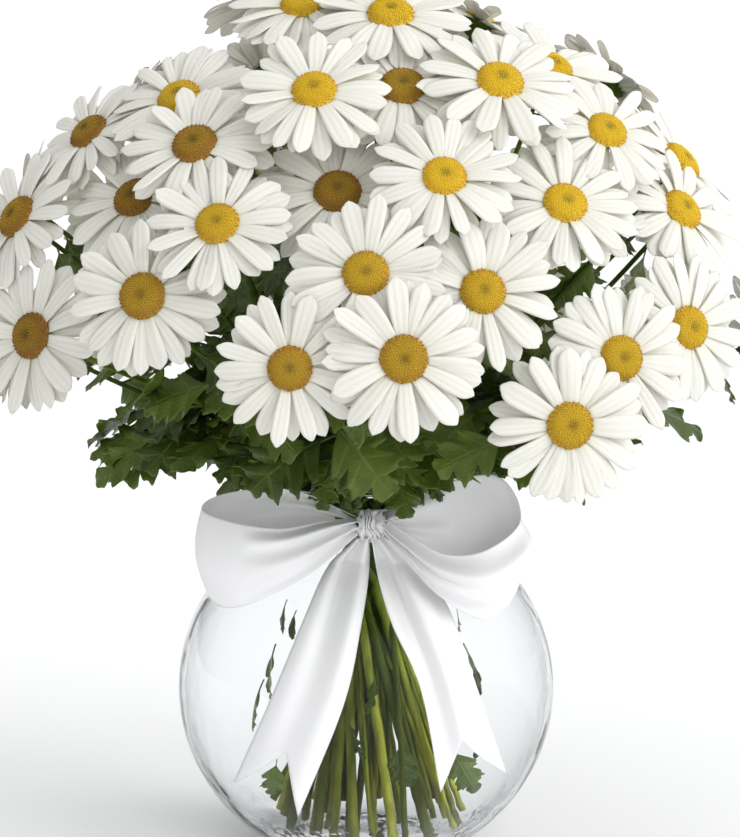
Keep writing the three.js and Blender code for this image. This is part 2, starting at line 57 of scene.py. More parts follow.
# %% Camera
LOOK_AT = Vector((0.0019, 0.0, 0.2072))
LOOK_DOWN, DISTANCE = math.radians(10), 1.5
LENS, SENSOR = 136.1, 36.0
camera_data = bpy.data.cameras.new("studio_camera")
camera_data.lens = LENS
camera_data.sensor_width = SENSOR
camera = bpy.data.objects.new("studio_camera", camera_data)
scene.collection.objects.link(camera)
camera.location = LOOK_AT + DISTANCE * Vector((0, -math.cos(LOOK_DOWN), math.sin(LOOK_DOWN)))
camera.rotation_euler = (math.radians(90) - LOOK_DOWN, 0, 0)
scene.camera = camera
print("camera at", [round(x, 3) for x in camera.location])

# %% [markdown]
# Light, finishes and shapes are all made with nodes here, and a few small helpers keep that work short.
# `add` makes a node, sets its options, and fills its inputs with values or with links. `group_of` makes a
# tree of nodes with named inputs and outputs.

# %% Node helpers


def add(tree, kind, inputs=None, **options):
    made = tree.nodes.new(kind)
    for key, value in options.items():
        setattr(made, key, value)
    for key, value in (inputs or {}).items():
        if isinstance(value, bpy.types.NodeSocket):
            tree.links.new(value, made.inputs[key])
        else:
            made.inputs[key].default_value = value
    return made


def maths(tree, operation, a, b=0.0, c=0.0):
    return add(tree, "ShaderNodeMath", {0: a, 1: b, 2: c}, operation=operation).outputs[0]


def ranged(tree, value, low, high, to_low=0.0, to_high=1.0):
    """A value moved from the range low to high into another range, and held inside it."""
    inputs = {"Value": value, "From Min": low, "From Max": high, "To Min": to_low, "To Max": to_high}
    return add(tree, "ShaderNodeMapRange", inputs).outputs[0]


def group_of(family, name, inputs, outputs):
    """A tree and its input sockets. Each input and output is (label, kind, value)."""
    tree = bpy.data.node_groups.new(name, family)
    for way, sockets in (("INPUT", inputs), ("OUTPUT", outputs)):
        for label, kind, value in sockets:
            socket = tree.interface.new_socket(label, in_out=way, socket_type="NodeSocket" + kind)
            if value is not None:
                socket.default_value = value
    return tree, add(tree, "NodeGroupInput").outputs


# %% [markdown]
# The setting is a white studio: a pale floor that runs out of the picture, soft light from all round, and a
# broad lamp on the right, half way up. The light all round is brighter towards the lamp and weaker on the
# left. That gives each petal a light and a dark side, and the glass something to reflect.

# %% Studio light
BRIGHT_SIDE, DARKEST, BRIGHTEST = (0.82, -0.28, 0.5), 0.3, 1.26
SKY_WHITE = (0.985, 0.99, 1.0, 1)
LAMP_FROM = Vector((0.78, -0.44, 0.46)).normalized()
LAMP_STRENGTH, LAMP_WIDTH = 1.15, math.radians(36)
scene.view_settings.view_transform = "Standard"
scene.view_settings.look = "None"

world = bpy.data.worlds.new("white_studio")
world.use_nodes = True
sky = world.node_tree
where = add(sky, "ShaderNodeTexCoord").outputs["Generated"]
facing = add(sky, "ShaderNodeVectorMath", {0: where, 1: BRIGHT_SIDE}, operation="DOT_PRODUCT")
sky.nodes["Background"].inputs["Color"].default_value = SKY_WHITE
level = ranged(sky, facing.outputs["Value"], -1.0, 1.0, DARKEST, BRIGHTEST)
sky.links.new(level, sky.nodes["Background"].inputs["Strength"])
scene.world = world

lamp = bpy.data.lights.new("broad_lamp", "SUN")
lamp.energy = LAMP_STRENGTH
lamp.angle = LAMP_WIDTH
broad_lamp = bpy.data.objects.new("broad_lamp", lamp)
scene.collection.objects.link(broad_lamp)
broad_lamp.rotation_mode = "QUATERNION"
broad_lamp.rotation_quaternion = LAMP_FROM.to_track_quat("Z", "Y")
print("lamp from", [round(x, 2) for x in LAMP_FROM])

# %% [markdown]
# Geometry Nodes run as a modifier. `grown` puts a tree on a carrier mesh, fills its inputs by their
# identifiers, takes the result as a plain mesh and throws the carrier away, so that only finished pieces
# are left.

# %% Mesh helpers


def mesh_of(name, points, faces, attributes=None, smooth=True):
    mesh = bpy.data.meshes.new(name)
    mesh.from_pydata([tuple(p) for p in points], [], [tuple(f) for f in faces])
    for key, (kind, field, values) in (attributes or {}).items():
        made = mesh.attributes.new(key, kind, "POINT")
        number = np.int32 if kind == "INT" else np.float32
        made.data.foreach_set(field, np.asarray(values, number).ravel())
    if smooth:
        mesh.shade_smooth()
    mesh.validate()
    return mesh


def grown(name, tree, carrier, values):
    holder = bpy.data.objects.new(name + "_carrier", carrier)
    scene.collection.objects.link(holder)
    modifier = holder.modifiers.new("grow", "NODES")
    modifier.node_group = tree
    for item in tree.interface.items_tree:
        if item.in_out == "INPUT" and item.name in values:
            modifier[item.identifier] = values[item.name]
    bpy.context.view_layer.update()
    evaluated = holder.evaluated_get(bpy.context.evaluated_depsgraph_get())
    mesh = bpy.data.meshes.new_from_object(evaluated)
    bpy.data.objects.remove(holder)
    mesh.name = name
    return piece(name, mesh)


def piece(name, mesh, material=None):
    made = bpy.data.objects.new(name, mesh)
    scene.collection.objects.link(made)
    if material:
        mesh.materials.clear()
        mesh.materials.append(material)
    return made


def stand_for(made, nodes):
    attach(made, "root")
    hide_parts(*nodes)
    made.data.update()
    print(f"{made.name}: {len(made.data.polygons)} faces, stands for {len(nodes)} node(s)")


def drawer(name, meshes):
    """A collection of loose shapes for a tree to pick from. It isn't in the scene, so none of it shows."""
    shapes = bpy.data.collections.new(name)
    for i, mesh in enumerate(meshes):
        shapes.objects.link(bpy.data.objects.new(f"{name}_{i:02d}", mesh))
    return shapes


def closed_sheet(upper, lower, rows, columns):
    """Points and faces of a thin closed plate between two grids of rows x columns points."""
    count = rows * columns
    index = np.arange(count).reshape(rows, columns)
    faces = []
    for r in range(rows - 1):
        for c in range(columns - 1):
            a, b, d, e = index[r, c], index[r, c + 1], index[r + 1, c + 1], index[r + 1, c]
            faces.append((a, e, d, b))
            faces.append((a + count, b + count, d + count, e + count))
    rim = [*index[0, :], *index[1:, -1], *index[-1, -2::-1], *index[-2:0:-1, 0]]
    for a, b in zip(rim, rim[1:] + rim[:1]):
        faces.append((a, b, b + count, a + count))
    return np.vstack([upper, lower]), faces


# %% [markdown]
# Two effects are used by several finishes, so each is a shader node group: `mottle` gives an uneven mask at
# two scales, and `fine_lines` gives soft parallel lines from one coordinate, such as the ridges of a petal.

# %% Shared shader groups
MASK, HEIGHT = ("Mask", "Float", None), ("Height", "Float", None)
wanted = [("Vector", "Vector", None), ("Scale", "Float", 100.0)]
mottle, given = group_of("ShaderNodeTree", "mottle", wanted, [MASK, HEIGHT])
spot, scale = given["Vector"], given["Scale"]
coarse = add(mottle, "ShaderNodeTexNoise", {"Vector": spot, "Scale": scale, "Detail": 3.0})
finer = maths(mottle, "MULTIPLY", scale, 7.0)
grainy = add(mottle, "ShaderNodeTexNoise", {"Vector": spot, "Scale": finer, "Detail": 2.0})
softened = ranged(mottle, coarse.outputs[0], 0.3, 0.7)
add(mottle, "NodeGroupOutput", {"Mask": softened, "Height": grainy.outputs[0]})

wanted = [("Across", "Float", 0.0), ("Lines", "Float", 3.0)]
fine_lines, given = group_of("ShaderNodeTree", "fine_lines", wanted, [MASK])
half_turns = maths(fine_lines, "MULTIPLY", given["Across"], given["Lines"])
wave = maths(fine_lines, "COSINE", maths(fine_lines, "MULTIPLY", half_turns, math.pi))
add(fine_lines, "NodeGroupOutput", {"Mask": maths(fine_lines, "MULTIPLY_ADD", wave, 0.5, 0.5)})
print("shader groups:", mottle.name, "and", fine_lines.name)

# %% [markdown]
# Each finish starts as a plain shader. Its colour is then built up in layers, as a painter does: a base
# colour, and over it other colours through masks. `dress` links the result to the shader, with a height
# that shows as a bump.

# %% Finish helpers


def finish(name, **values):
    """A new material: returns it, its tree and its Principled shader with the given plain socket values."""
    material = bpy.data.materials.new(name)
    material.use_nodes = True
    tree = material.node_tree
    shader = tree.nodes["Principled BSDF"]
    for key, value in values.items():
        shader.inputs[key.replace("_", " ")].default_value = value
    return material, tree, shader


def object_place(tree):
    return add(tree, "ShaderNodeTexCoord").outputs["Object"]


def height_of(tree, place):
    return add(tree, "ShaderNodeSeparateXYZ", {0: place}).outputs[2]


def attribute(tree, name):
    """The three numbers of a vector attribute: each material's cell says what they are."""
    vector = add(tree, "ShaderNodeAttribute", attribute_name=name).outputs["Vector"]
    return add(tree, "ShaderNodeSeparateXYZ", {0: vector}).outputs


def mottled(tree, scale, place=None):
    """The mottle's mask and its fine height, at a scale in spots per metre."""
    place = object_place(tree) if place is None else place
    made = add(tree, "ShaderNodeGroup", {"Vector": place, "Scale": scale}, node_tree=mottle)
    return made.outputs["Mask"], made.outputs["Height"]


def lined(tree, across, lines):
    """The mask of the fine lines, at a number of lines to one unit of across."""
    made = add(tree, "ShaderNodeGroup", {"Across": across, "Lines": lines}, node_tree=fine_lines)
    return made.outputs["Mask"]


def blended(tree, factor, a, b):
    """A colour between a and b. Each is a colour or a socket."""
    made = add(tree, "ShaderNodeMix", {0: factor}, data_type="RGBA")
    for index, value in ((6, a), (7, b)):
        if isinstance(value, bpy.types.NodeSocket):
            tree.links.new(value, made.inputs[index])
        else:
            made.inputs[index].default_value = (*value, 1)
    return made.outputs[2]


def layered(tree, base, *layers):
    """A base colour with others laid over it in turn. A layer is a mask, a strength and a colour."""
    for mask, strength, colour in layers:
        base = blended(tree, maths(tree, "MULTIPLY", mask, strength), base, colour)
    return base


def dress(tree, shader, colour, height=None, distance=0.0, strength=1.0):
    tree.links.new(colour, shader.inputs["Base Color"])
    if height is not None:
        bump = add(tree, "ShaderNodeBump", {"Height": height, "Distance": distance, "Strength": strength})
        tree.links.new(bump.outputs[0], shader.inputs["Normal"])


# %% [markdown]
# A petal is white with a little cream at its root. Its root and its two grooves are also given painted shade,
# where the petals crowd together and the surface folds. It is thin, so light passes through it: the shader's
# subsurface part softens the shade between petals. The attribute `ray` runs along the petal, across it, and
# differs by petal.

# %% Petal finish
petal_white, tree, shader = finish(
    "petal_white",
    Roughness=0.55,
    Subsurface_Weight=0.25,
    Subsurface_Radius=(1.0, 0.88, 0.65),
    Subsurface_Scale=0.0015,
)
along, across, which = attribute(tree, "ray")
patch, grain = mottled(tree, 90.0)
streak = lined(tree, across, 9.0)
# Painted shade in the two grooves along the petal, where the surface folds down.
painted_groove_shade = lined(tree, maths(tree, "ADD", across, 0.33), 3.0)
# Cream at the root, and painted shade where the petals crowd together at the disc.
root = ranged(tree, along, 0.0, 0.45, 1.0, 0.0)
white = layered(
    tree,
    (0.87, 0.852, 0.775),
    (streak, 0.14, (0.68, 0.655, 0.535)),
    (painted_groove_shade, 0.3, (0.62, 0.6, 0.49)),
    (patch, 0.2, (0.78, 0.765, 0.68)),
    (which, 0.25, (0.72, 0.7, 0.6)),
    (root, 0.42, (0.72, 0.7, 0.54)),
)
dress(tree, shader, white, maths(tree, "MULTIPLY_ADD", streak, 0.35, grain), 0.0001)
print("made", petal_white.name)

# %% [markdown]
# A disc is a crowd of tiny florets. Those at the rim have opened and are golden brown, those further in are
# bright yellow, and the youngest, in the dimple, are still greenish. Each disc is painted between a browner
# colouring in painted shade and a yellower one in painted light. The attribute `floret` gives each floret
# its share of the way out, how brightly its disc is painted as lit, and a random number.

# %% Disc finish
# Painted shade: a disc's colours, browner, for a head in the shade.
SHADED_DISC = [
    (0.0, (0.075, 0.07, 0.01)),
    (0.12, (0.11, 0.08, 0.01)),
    (0.3, (0.36, 0.24, 0.015)),
    (0.62, (0.42, 0.25, 0.014)),
    (0.84, (0.27, 0.12, 0.01)),
    (1.0, (0.16, 0.065, 0.006)),
]
# Painted light: a disc's colours, yellower, for a head in the light.
LIT_DISC = [
    (0.0, (0.3, 0.25, 0.015)),
    (0.14, (0.36, 0.29, 0.015)),
    (0.32, (0.9, 0.66, 0.02)),
    (0.74, (0.95, 0.66, 0.018)),
    (1.0, (0.52, 0.23, 0.01)),
]


def ramped(tree, factor, stops):
    """Colours that follow a factor. Each stop is a position from 0 to 1 and a colour."""
    ramp = add(tree, "ShaderNodeValToRGB", {0: factor})
    first, *middle, last = stops
    for element, (position, colour) in zip(ramp.color_ramp.elements, (first, last)):
        element.position = position
        element.color = (*colour, 1)
    for position, colour in middle:
        ramp.color_ramp.elements.new(position).color = (*colour, 1)
    return ramp.outputs[0]


disc_gold, tree, shader = finish("disc_gold", Roughness=0.7)
outward, tone, which = attribute(tree, "floret")
_, grain = mottled(tree, 400.0)
# Each disc is blended from its painted shade colours to its painted light colours by its tone.
gold = blended(tree, tone, ramped(tree, outward, SHADED_DISC), ramped(tree, outward, LIT_DISC))
gold = layered(tree, gold, (which, 0.18, (0.4, 0.2, 0.01)))
dress(tree, shader, gold, grain, 0.0003)
print("made", disc_gold.name)

# %% [markdown]
# Leaves are waxy and dark, with paler veins that run where the lobes point. `leaf` gives the place along
# the midrib, the place from midrib to edge, and a random number for each leaf: some are young and bright,
# some dusty.

# %% Leaf finish
VEINS = 10.0
leaf_green, tree, shader = finish("leaf_green", Roughness=0.34, Specular_IOR_Level=0.35)
along, across, which = attribute(tree, "leaf")
patch, grain = mottled(tree, 120.0)
young = ranged(tree, which, 0.5, 1.0)
dusty = ranged(tree, which, 0.4, 0.0)
side_vein = maths(tree, "POWER", lined(tree, along, VEINS), 14.0)
midrib = ranged(tree, across, 0.0, 0.09, 1.0, 0.0)
vein = maths(tree, "MAXIMUM", maths(tree, "MULTIPLY", side_vein, 0.5), midrib)
green = layered(
    tree,
    blended(tree, patch, (0.026, 0.046, 0.007), (0.066, 0.105, 0.014)),
    (young, 0.7, (0.14, 0.21, 0.025)),
    (dusty, 0.55, (0.085, 0.13, 0.075)),
    (vein, 0.6, (0.17, 0.25, 0.06)),
)
dress(tree, shader, green, maths(tree, "SUBTRACT", grain, maths(tree, "MULTIPLY", vein, 0.8)), 0.0004)
print("made", leaf_green.name)

# %% [markdown]
# Stems are lighter and yellower towards the foot, where they stand in water. `tone` differs from stem to
# stem, and the mottle is stretched along them.

# %% Stem finish
stem_green, tree, shader = finish("stem_green", Roughness=0.5, Specular_IOR_Level=0.05)
place = object_place(tree)
stretched = add(tree, "ShaderNodeMapping", {"Vector": place, "Scale": (1.0, 1.0, 0.12)}).outputs[0]
patch, grain = mottled(tree, 260.0, stretched)
low = ranged(tree, height_of(tree, place), 0.03, 0.15, 1.0, 0.0)
which = add(tree, "ShaderNodeAttribute", attribute_name="tone").outputs["Fac"]
wet = blended(tree, maths(tree, "POWER", which, 1.3), (0.045, 0.062, 0.004), (0.5, 0.52, 0.06))
dry = blended(tree, maths(tree, "POWER", which, 2.0), (0.065, 0.11, 0.016), (0.2, 0.28, 0.03))
green = layered(tree, blended(tree, low, dry, wet), (patch, 0.6, (0.035, 0.05, 0.008)))
dress(tree, shader, green, grain, 0.0003)
print("made", stem_green.name)

# %% [markdown]
# Satin shines along its floats of thread, so its highlight is soft and wide. White cloth throws nearly all
# light back and lets a little through, which keeps the inside of the loops bright. The weave is far finer
# than a pixel. `cloth` gives millimetres across and along the ribbon.

# %% Satin finish
white_satin, tree, shader = finish(
    "white_satin",
    Anisotropic=0.35,
    Subsurface_Weight=0.2,
    Subsurface_Radius=(1.0, 1.0, 1.0),
    Subsurface_Scale=0.002,
    Sheen_Weight=0.25,
    Sheen_Roughness=0.4,
)
across, along, _ = attribute(tree, "cloth")
weave = maths(tree, "MULTIPLY_ADD", lined(tree, across, 9.0), 0.6, lined(tree, along, 5.0))
patch, _ = mottled(tree, 70.0)
satin = layered(
    tree,
    (0.99, 0.987, 0.996),
    (weave, 0.1, (0.95, 0.95, 0.97)),
    (patch, 0.2, (0.97, 0.965, 0.985)),
)
tree.links.new(ranged(tree, patch, 0.0, 1.0, 0.3, 0.42), shader.inputs["Roughness"])
dress(tree, shader, satin, weave, 0.00004, 0.6)
print("made", white_satin.name)

# %% [markdown]
# Blown glass is a little uneven, most of all in its thick base, and it looks darker and bluer where the
# wall is seen edge on. In the picture the water hardly bends the stems, because the whole bowl is evenly
# lit, so it is given only a trace of refraction here. Neither casts a dark shadow: light goes on through
# them.

# %% Glass and water finishes
clear_glass, tree, shader = finish(
    "clear_glass",
    Roughness=0.0,
    IOR=1.45,
    Transmission_Weight=1.0,
    Specular_Tint=(0.25, 0.25, 0.25, 1),
)
place = object_place(tree)
patch, _ = mottled(tree, 14.0, place)
pebbled, _ = mottled(tree, 55.0, place)
edge = add(tree, "ShaderNodeLayerWeight", {"Blend": 0.5}).outputs["Facing"]
tint = blended(tree, patch, (0.995, 1.0, 1.0), (0.97, 0.982, 0.99))
tint = blended(tree, maths(tree, "POWER", edge, 4.0), tint, (0.02, 0.07, 0.085))
base = ranged(tree, height_of(tree, place), 0.0, 0.03, 1.0, 0.0)
waves = maths(tree, "MULTIPLY_ADD", maths(tree, "MULTIPLY", pebbled, base), 2.0, patch)
dress(tree, shader, tint, waves, 0.0006)

still_water, tree, shader = finish("still_water", Roughness=0.0, IOR=1.03, Transmission_Weight=1.0)
patch, _ = mottled(tree, 20.0)
dress(tree, shader, blended(tree, patch, (0.995, 1.0, 0.998), (0.98, 0.99, 0.988)))
print("made", clear_glass.name, "and", still_water.name)

# %% [markdown]
# The floor is one great round plate, so wide that its edge is out of the picture. It belongs to the studio
# and not to the piece.

# %% Floor
FLOOR_RADIUS, FLOOR_BACK, FLOOR_SIDES = 27.0, 12.0, 64
pale_floor, tree, shader = finish("pale_floor", Roughness=0.9)
patch, _ = mottled(tree, 3.0)
dress(tree, shader, blended(tree, patch, (0.985, 0.985, 0.985), (0.975, 0.977, 0.98)))
turns = np.linspace(0, 2 * math.pi, FLOOR_SIDES, endpoint=False)
floor_ring = [(FLOOR_RADIUS * math.cos(a), FLOOR_RADIUS * math.sin(a) + FLOOR_BACK, 0) for a in turns]
floor = piece("floor", mesh_of("floor", floor_ring, [tuple(range(FLOOR_SIDES))]), pale_floor)
print("floor:", FLOOR_RADIUS, "m in radius")

# %% [markdown]
# Every flower head already has its place. Behind the florets each disc node is flat, and a whole daisy is
# flat behind its hub. The largest set of triangles that face one way is that flat, so its middle, its size
# and the way it faces give the head's seat, and no list of places is needed here.

# %% Read the heads' seats
DISC_RADIUS, HUB_RADIUS, RAY_THICKNESS, GAP = 11.4 * MM, 13.5 * MM, 0.9 * MM, 0.3 * MM
SPRAYS = {"front_low": 4, "left_low": 5, "left_side": 3, "crown": 5, "right_high": 7, "right_low": 3}
BACK_COUNT = 18
SAME_WAY, SAME_PLANE = 0.9999, 0.03 * MM


def flat_face(node):
    """Middle, outward direction and reach of a node's largest flat face."""
    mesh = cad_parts[node].data
    points = np.array([v.co for v in mesh.vertices])
    corners = np.array([p.vertices[:] for p in mesh.polygons])
    a, b, c = (points[corners[:, i]] for i in range(3))
    crossed = np.cross(b - a, c - a)
    area = np.linalg.norm(crossed, axis=1)
    facing = crossed / np.maximum(area, 1e-15)[:, None]
    offset = np.einsum("ij,ij->i", facing, (a + b + c) / 3)
    alike = (facing @ facing.T > SAME_WAY) & (np.abs(offset[:, None] - offset) < SAME_PLANE)
    best = alike[int(np.argmax(alike @ area))]
    ring = np.unique(np.round(points[corners[best].ravel()], 6), axis=0)
    middle = ring.mean(0)
    reach = np.median(np.linalg.norm(ring - middle, axis=1))
    return Vector(middle), Vector(facing[best].mean(0)).normalized(), float(reach)


def seat_of(node, behind):
    """A head's seat: the middle of its disc's underside, the way it faces, and its size beside a full one."""
    middle, normal, reach = flat_face(node)
    size = reach / (HUB_RADIUS if behind else DISC_RADIUS)
    middle = middle - normal * RAY_THICKNESS * size if behind else middle + normal * GAP
    return {"node": node, "middle": middle, "facing": -normal, "size": size}


heads = {}
for name, count in SPRAYS.items():
    heads[name] = [seat_of(f"disc_{name}_{i + 1}", behind=False) for i in range(count)]
back_heads = [seat_of(f"daisy_back_{i + 1}", behind=True) for i in range(BACK_COUNT)]
all_heads = [head for group in heads.values() for head in group] + back_heads
sizes = [head["size"] for head in all_heads]
print(len(sizes), "heads, sizes from", round(min(sizes), 3), "to", round(max(sizes), 3))

# %% [markdown]
# Cut flowers aren't stiff. Each front head nods by a few degrees: the low ones towards the viewer, the high
# ones so that they keep looking up to the light. Some are eased a few millimetres aside, so that heads
# overlap as they do in a full bunch. A head stays where its solid is, give or take that. `EASED` holds
# millimetres to the right, up and towards the viewer.

# %% Nod and ease the front heads
NOD_LIMIT, NOD_SHARE = math.radians(17), 0.5
LOOK_UP, LEVEL_TO, RISE = math.radians(36), 0.275, 0.04
VIEWER = (camera.location - LOOK_AT).normalized()
RIGHT = Vector((1, 0, 0))
UP = VIEWER.cross(RIGHT)
EASED = {
    "disc_front_low_2": (0, 0, 4),
    "disc_front_low_3": (3, -4, 0),
    "disc_front_low_4": (2, -2, -4),
    "disc_left_low_1": (-2, 2, 0),
    "disc_left_low_4": (9, -3, -9),
    "disc_left_low_5": (9, 3, -6),
    "disc_left_side_1": (5, -5, 0),
    "disc_left_side_2": (0, 4, 0),
    "disc_left_side_3": (8, -3, 0),
    "disc_crown_2": (-3, -12, -9),
    "disc_crown_3": (0, -7, 0),
    "disc_crown_4": (1, -6, 0),
    "disc_crown_5": (-5, 0, 2),
    "disc_right_high_1": (2, -5, -13),
    "disc_right_high_2": (2, 9, 4),
    "disc_right_high_3": (10, -2, 0),
    "disc_right_high_4": (3, 5, 0),
    "disc_right_high_5": (-10, 3, 0),
    "disc_right_high_6": (3, -4, 0),
    "disc_right_low_2": (-2, -4, 0),
    "disc_right_low_3": (0, 5, 0),
}


def held(value):
    """A value held between 0 and 1."""
    return min(1.0, max(0.0, value))


def nodded(facing, height):
    look_up = LOOK_UP * held((height - LEVEL_TO) / RISE)
    wanted = VIEWER * math.cos(look_up) + UP * math.sin(look_up)
    angle = facing.angle(wanted)
    if angle < 1e-4:
        return facing
    return Quaternion(facing.cross(wanted), min(NOD_LIMIT, angle * NOD_SHARE)) @ facing


dice = random.Random(11)
for head in all_heads[:-BACK_COUNT]:
    aside, up, nearer = EASED.get(head["node"], (0, 0, 0))
    head["middle"] += (RIGHT * aside + UP * up + VIEWER * nearer) * MM
    head["facing"] = nodded(head["facing"], head["middle"].z)
for head in all_heads:
    spin = Quaternion((0, 0, 1), dice.uniform(-math.pi, math.pi))
    head["turn"] = Vector((0, 0, 1)).rotation_difference(head["facing"]) @ spin
print("eased:", len(EASED), "heads, by at most", round(max(Vector(v).length for v in EASED.values())), "mm")

# %% [markdown]
# ## Petals
#
# A daisy's petal is a long tongue: narrow at the root, widest two thirds of the way out, with a blunt tip
# of three small teeth and two grooves along it. It could be a flat cut-out with a bump map, but its edge
# and its grooves catch the light, so each is a thin closed sheet. Nine different petals are made, some
# curled, some twisted, and a tree sets them round each head.

# %% Petal shapes
RAY_ROOT, RAY_TIP, PETAL_SHAPES = 8.2, 36.2, 9


def petal_mesh(number):
    dice = random.Random(300 + number)
    rows, columns = 14, 9
    closer_at_tip = 1 - (1 - np.linspace(0, 1, rows)) ** 1.5
    u, v = (g.ravel() for g in np.meshgrid(closer_at_tip, np.linspace(-1, 1, columns), indexing="ij"))
    # The outline: u runs along and v across. The half width swells from the root and rounds off at the tip.
    length = (RAY_TIP - RAY_ROOT) * dice.uniform(0.94, 1.0)
    widest = dice.uniform(3.7, 4.8)
    rise = np.sin(np.pi / 2 * np.clip(u / 0.66, 0, 1)) ** 1.3
    blunt = np.sqrt(np.clip(1 - np.clip((u - 0.74) / 0.265, 0, 1) ** 2.1, 0, 1))
    half = widest * (0.6 + 0.4 * rise) * blunt
    teeth = 1 - 0.03 * v**2 - dice.uniform(0.012, 0.035) * (1 - np.cos(3 * np.pi * v)) / 2
    x = length * u * (1 + (teeth - 1) * np.clip((u - 0.55) / 0.45, 0, 1) ** 2)
    y = half * v + dice.uniform(-1.6, 1.6) * u**2
    # The lift: an arch, a tip that droops, a cupped section, and two grooves along it.
    arch, droop = dice.uniform(0.4, 1.8), dice.uniform(-1.2, 4.6)
    cup = dice.uniform(-0.1, 0.3)
    z = arch * np.sin(np.pi * u**0.8) - droop * u**2.2 - cup * half * v**2
    z += 0.32 * np.cos(3 * np.pi * v) * np.sin(np.pi * np.clip(u * 1.05, 0, 1)) ** 0.7
    # The twist, about the petal's own line.
    twist = dice.uniform(-0.34, 0.34) * u
    y, z = y * np.cos(twist), z + half * v * np.sin(twist)
    thick = 0.34 * (1 - 0.55 * v**2) * (1 - 0.5 * u)
    upper = np.stack([RAY_ROOT + x, y, z], 1) * MM
    lower = upper - np.stack([0 * u, 0 * u, thick], 1) * MM
    points, faces = closed_sheet(upper, lower, rows, columns)
    ray = np.tile(np.stack([u, v, 0 * u + dice.random()], 1), (2, 1))
    return mesh_of(f"petal_{number}", points, faces, {"ray": ("FLOAT_VECTOR", "vector", ray)})


petals = drawer("petals", [petal_mesh(i) for i in range(PETAL_SHAPES)])

# %% [markdown]
# Repeats are grown by Geometry Nodes. A carrier mesh holds one point for each place, with the turn and size
# that belong to it as attributes. The helpers below make the steps that the trees share: reading an
# attribute, a seeded random value, copying a point, turning inside a turn, and standing a shape from a
# collection on every point.

# %% Geometry node helpers


def new_tree(name, inputs):
    geometry = ("Geometry", "Geometry", None)
    return group_of("GeometryNodeTree", name, [geometry, *inputs], [geometry])


def chance(tree, low, high, seed, whole=False):
    first = 4 if whole else 2
    kind = "INT" if whole else "FLOAT"
    made = add(tree, "FunctionNodeRandomValue", {first: low, first + 1: high, 8: seed}, data_type=kind)
    return made.outputs[2 if whole else 1]


def read(tree, name, kind="FLOAT"):
    return add(tree, "GeometryNodeInputNamedAttribute", {"Name": name}, data_type=kind).outputs[0]


def keep(tree, instances, name, vector):
    """The instances, each with a vector stored under a name."""
    inputs = {"Geometry": instances, "Name": name, "Value": vector}
    kinds = {"data_type": "FLOAT_VECTOR", "domain": "INSTANCE"}
    return add(tree, "GeometryNodeStoreNamedAttribute", inputs, **kinds).outputs[0]


def end_tree(tree, geometry, material):
    real = add(tree, "GeometryNodeRealizeInstances", {"Geometry": geometry}).outputs[0]
    dressed = add(tree, "GeometryNodeSetMaterial", {"Geometry": real, "Material": material}).outputs[0]
    add(tree, "NodeGroupOutput", {"Geometry": dressed})


def vector_of(tree, x, y, z):
    return add(tree, "ShaderNodeCombineXYZ", {0: x, 1: y, 2: z}).outputs[0]


def scaled(tree, vector, by):
    return add(tree, "ShaderNodeVectorMath", {0: vector, "Scale": by}, operation="SCALE").outputs[0]


def turned_in(tree, turn, roll, tip, spin):
    """A turn with three more angles made inside it."""
    own = add(tree, "FunctionNodeEulerToRotation", {0: vector_of(tree, roll, tip, spin)}).outputs[0]
    return add(tree, "FunctionNodeRotateRotation", {0: turn, 1: own}, rotation_space="LOCAL").outputs[0]


def copied(tree, geometry, count):
    """Each point copied count times, and the number of each copy."""
    made = add(tree, "GeometryNodeDuplicateElements", {"Geometry": geometry, "Amount": count}, domain="POINT")
    return made.outputs[0], made.outputs["Duplicate Index"]


def stood_on(tree, points, shapes, which, turn, size):
    inputs = {"Collection": shapes, "Separate Children": True, "Reset Children": True}
    choice = add(tree, "GeometryNodeCollectionInfo", inputs).outputs[0]
    inputs = {"Points": points, "Instance": choice, "Pick Instance": True, "Instance Index": which}
    return add(tree, "GeometryNodeInstanceOnPoints", {**inputs, "Rotation": turn, "Scale": size}).outputs[0]


# %% [markdown]
# The tree `ring_of_petals` takes one point for each head. It duplicates the point once for each petal,
# turns every duplicate a little further round, tips every second one back so that two layers overlap, and
# stands a random petal on it. The head's own turn comes last.

# %% Tree: ring of petals
ring_tree, given = new_tree(
    "ring_of_petals",
    [
        ("Petals", "Collection", None),
        ("Layer Tip", "Float", 0.13),
        ("Unevenness", "Float", 0.085),
        ("Seed", "Int", 1),
        ("Material", "Material", None),
    ],
)
t = ring_tree
seeds = [maths(t, "ADD", given["Seed"], float(n)) for n in range(6)]
petal_count = read(t, "petals", "INT")
copies, number = copied(t, given["Geometry"], petal_count)
uneven = given["Unevenness"]
low_uneven = maths(t, "MULTIPLY", uneven, -1.0)
step = maths(t, "DIVIDE", 2 * math.pi, petal_count)
jitter = chance(t, low_uneven, uneven, seeds[0])
round_angle = maths(t, "ADD", maths(t, "MULTIPLY", number, step), jitter)
layer = maths(t, "FLOORED_MODULO", number, 2.0)
tip = maths(t, "MULTIPLY_ADD", layer, given["Layer Tip"], chance(t, low_uneven, uneven, seeds[1]))
roll = chance(t, -0.24, 0.24, seeds[2])
turned = turned_in(t, read(t, "turn", "QUATERNION"), roll, tip, round_angle)
stretch, breadth = chance(t, 0.93, 1.03, seeds[3]), chance(t, 0.86, 1.12, seeds[4])
sized = scaled(t, vector_of(t, stretch, breadth, 1.0), read(t, "size"))
which = chance(t, 0, PETAL_SHAPES - 1, seeds[5], whole=True)
end_tree(t, stood_on(t, copies, given["Petals"], which, turned, sized), given["Material"])
print("ring of petals:", len(t.nodes), "nodes")


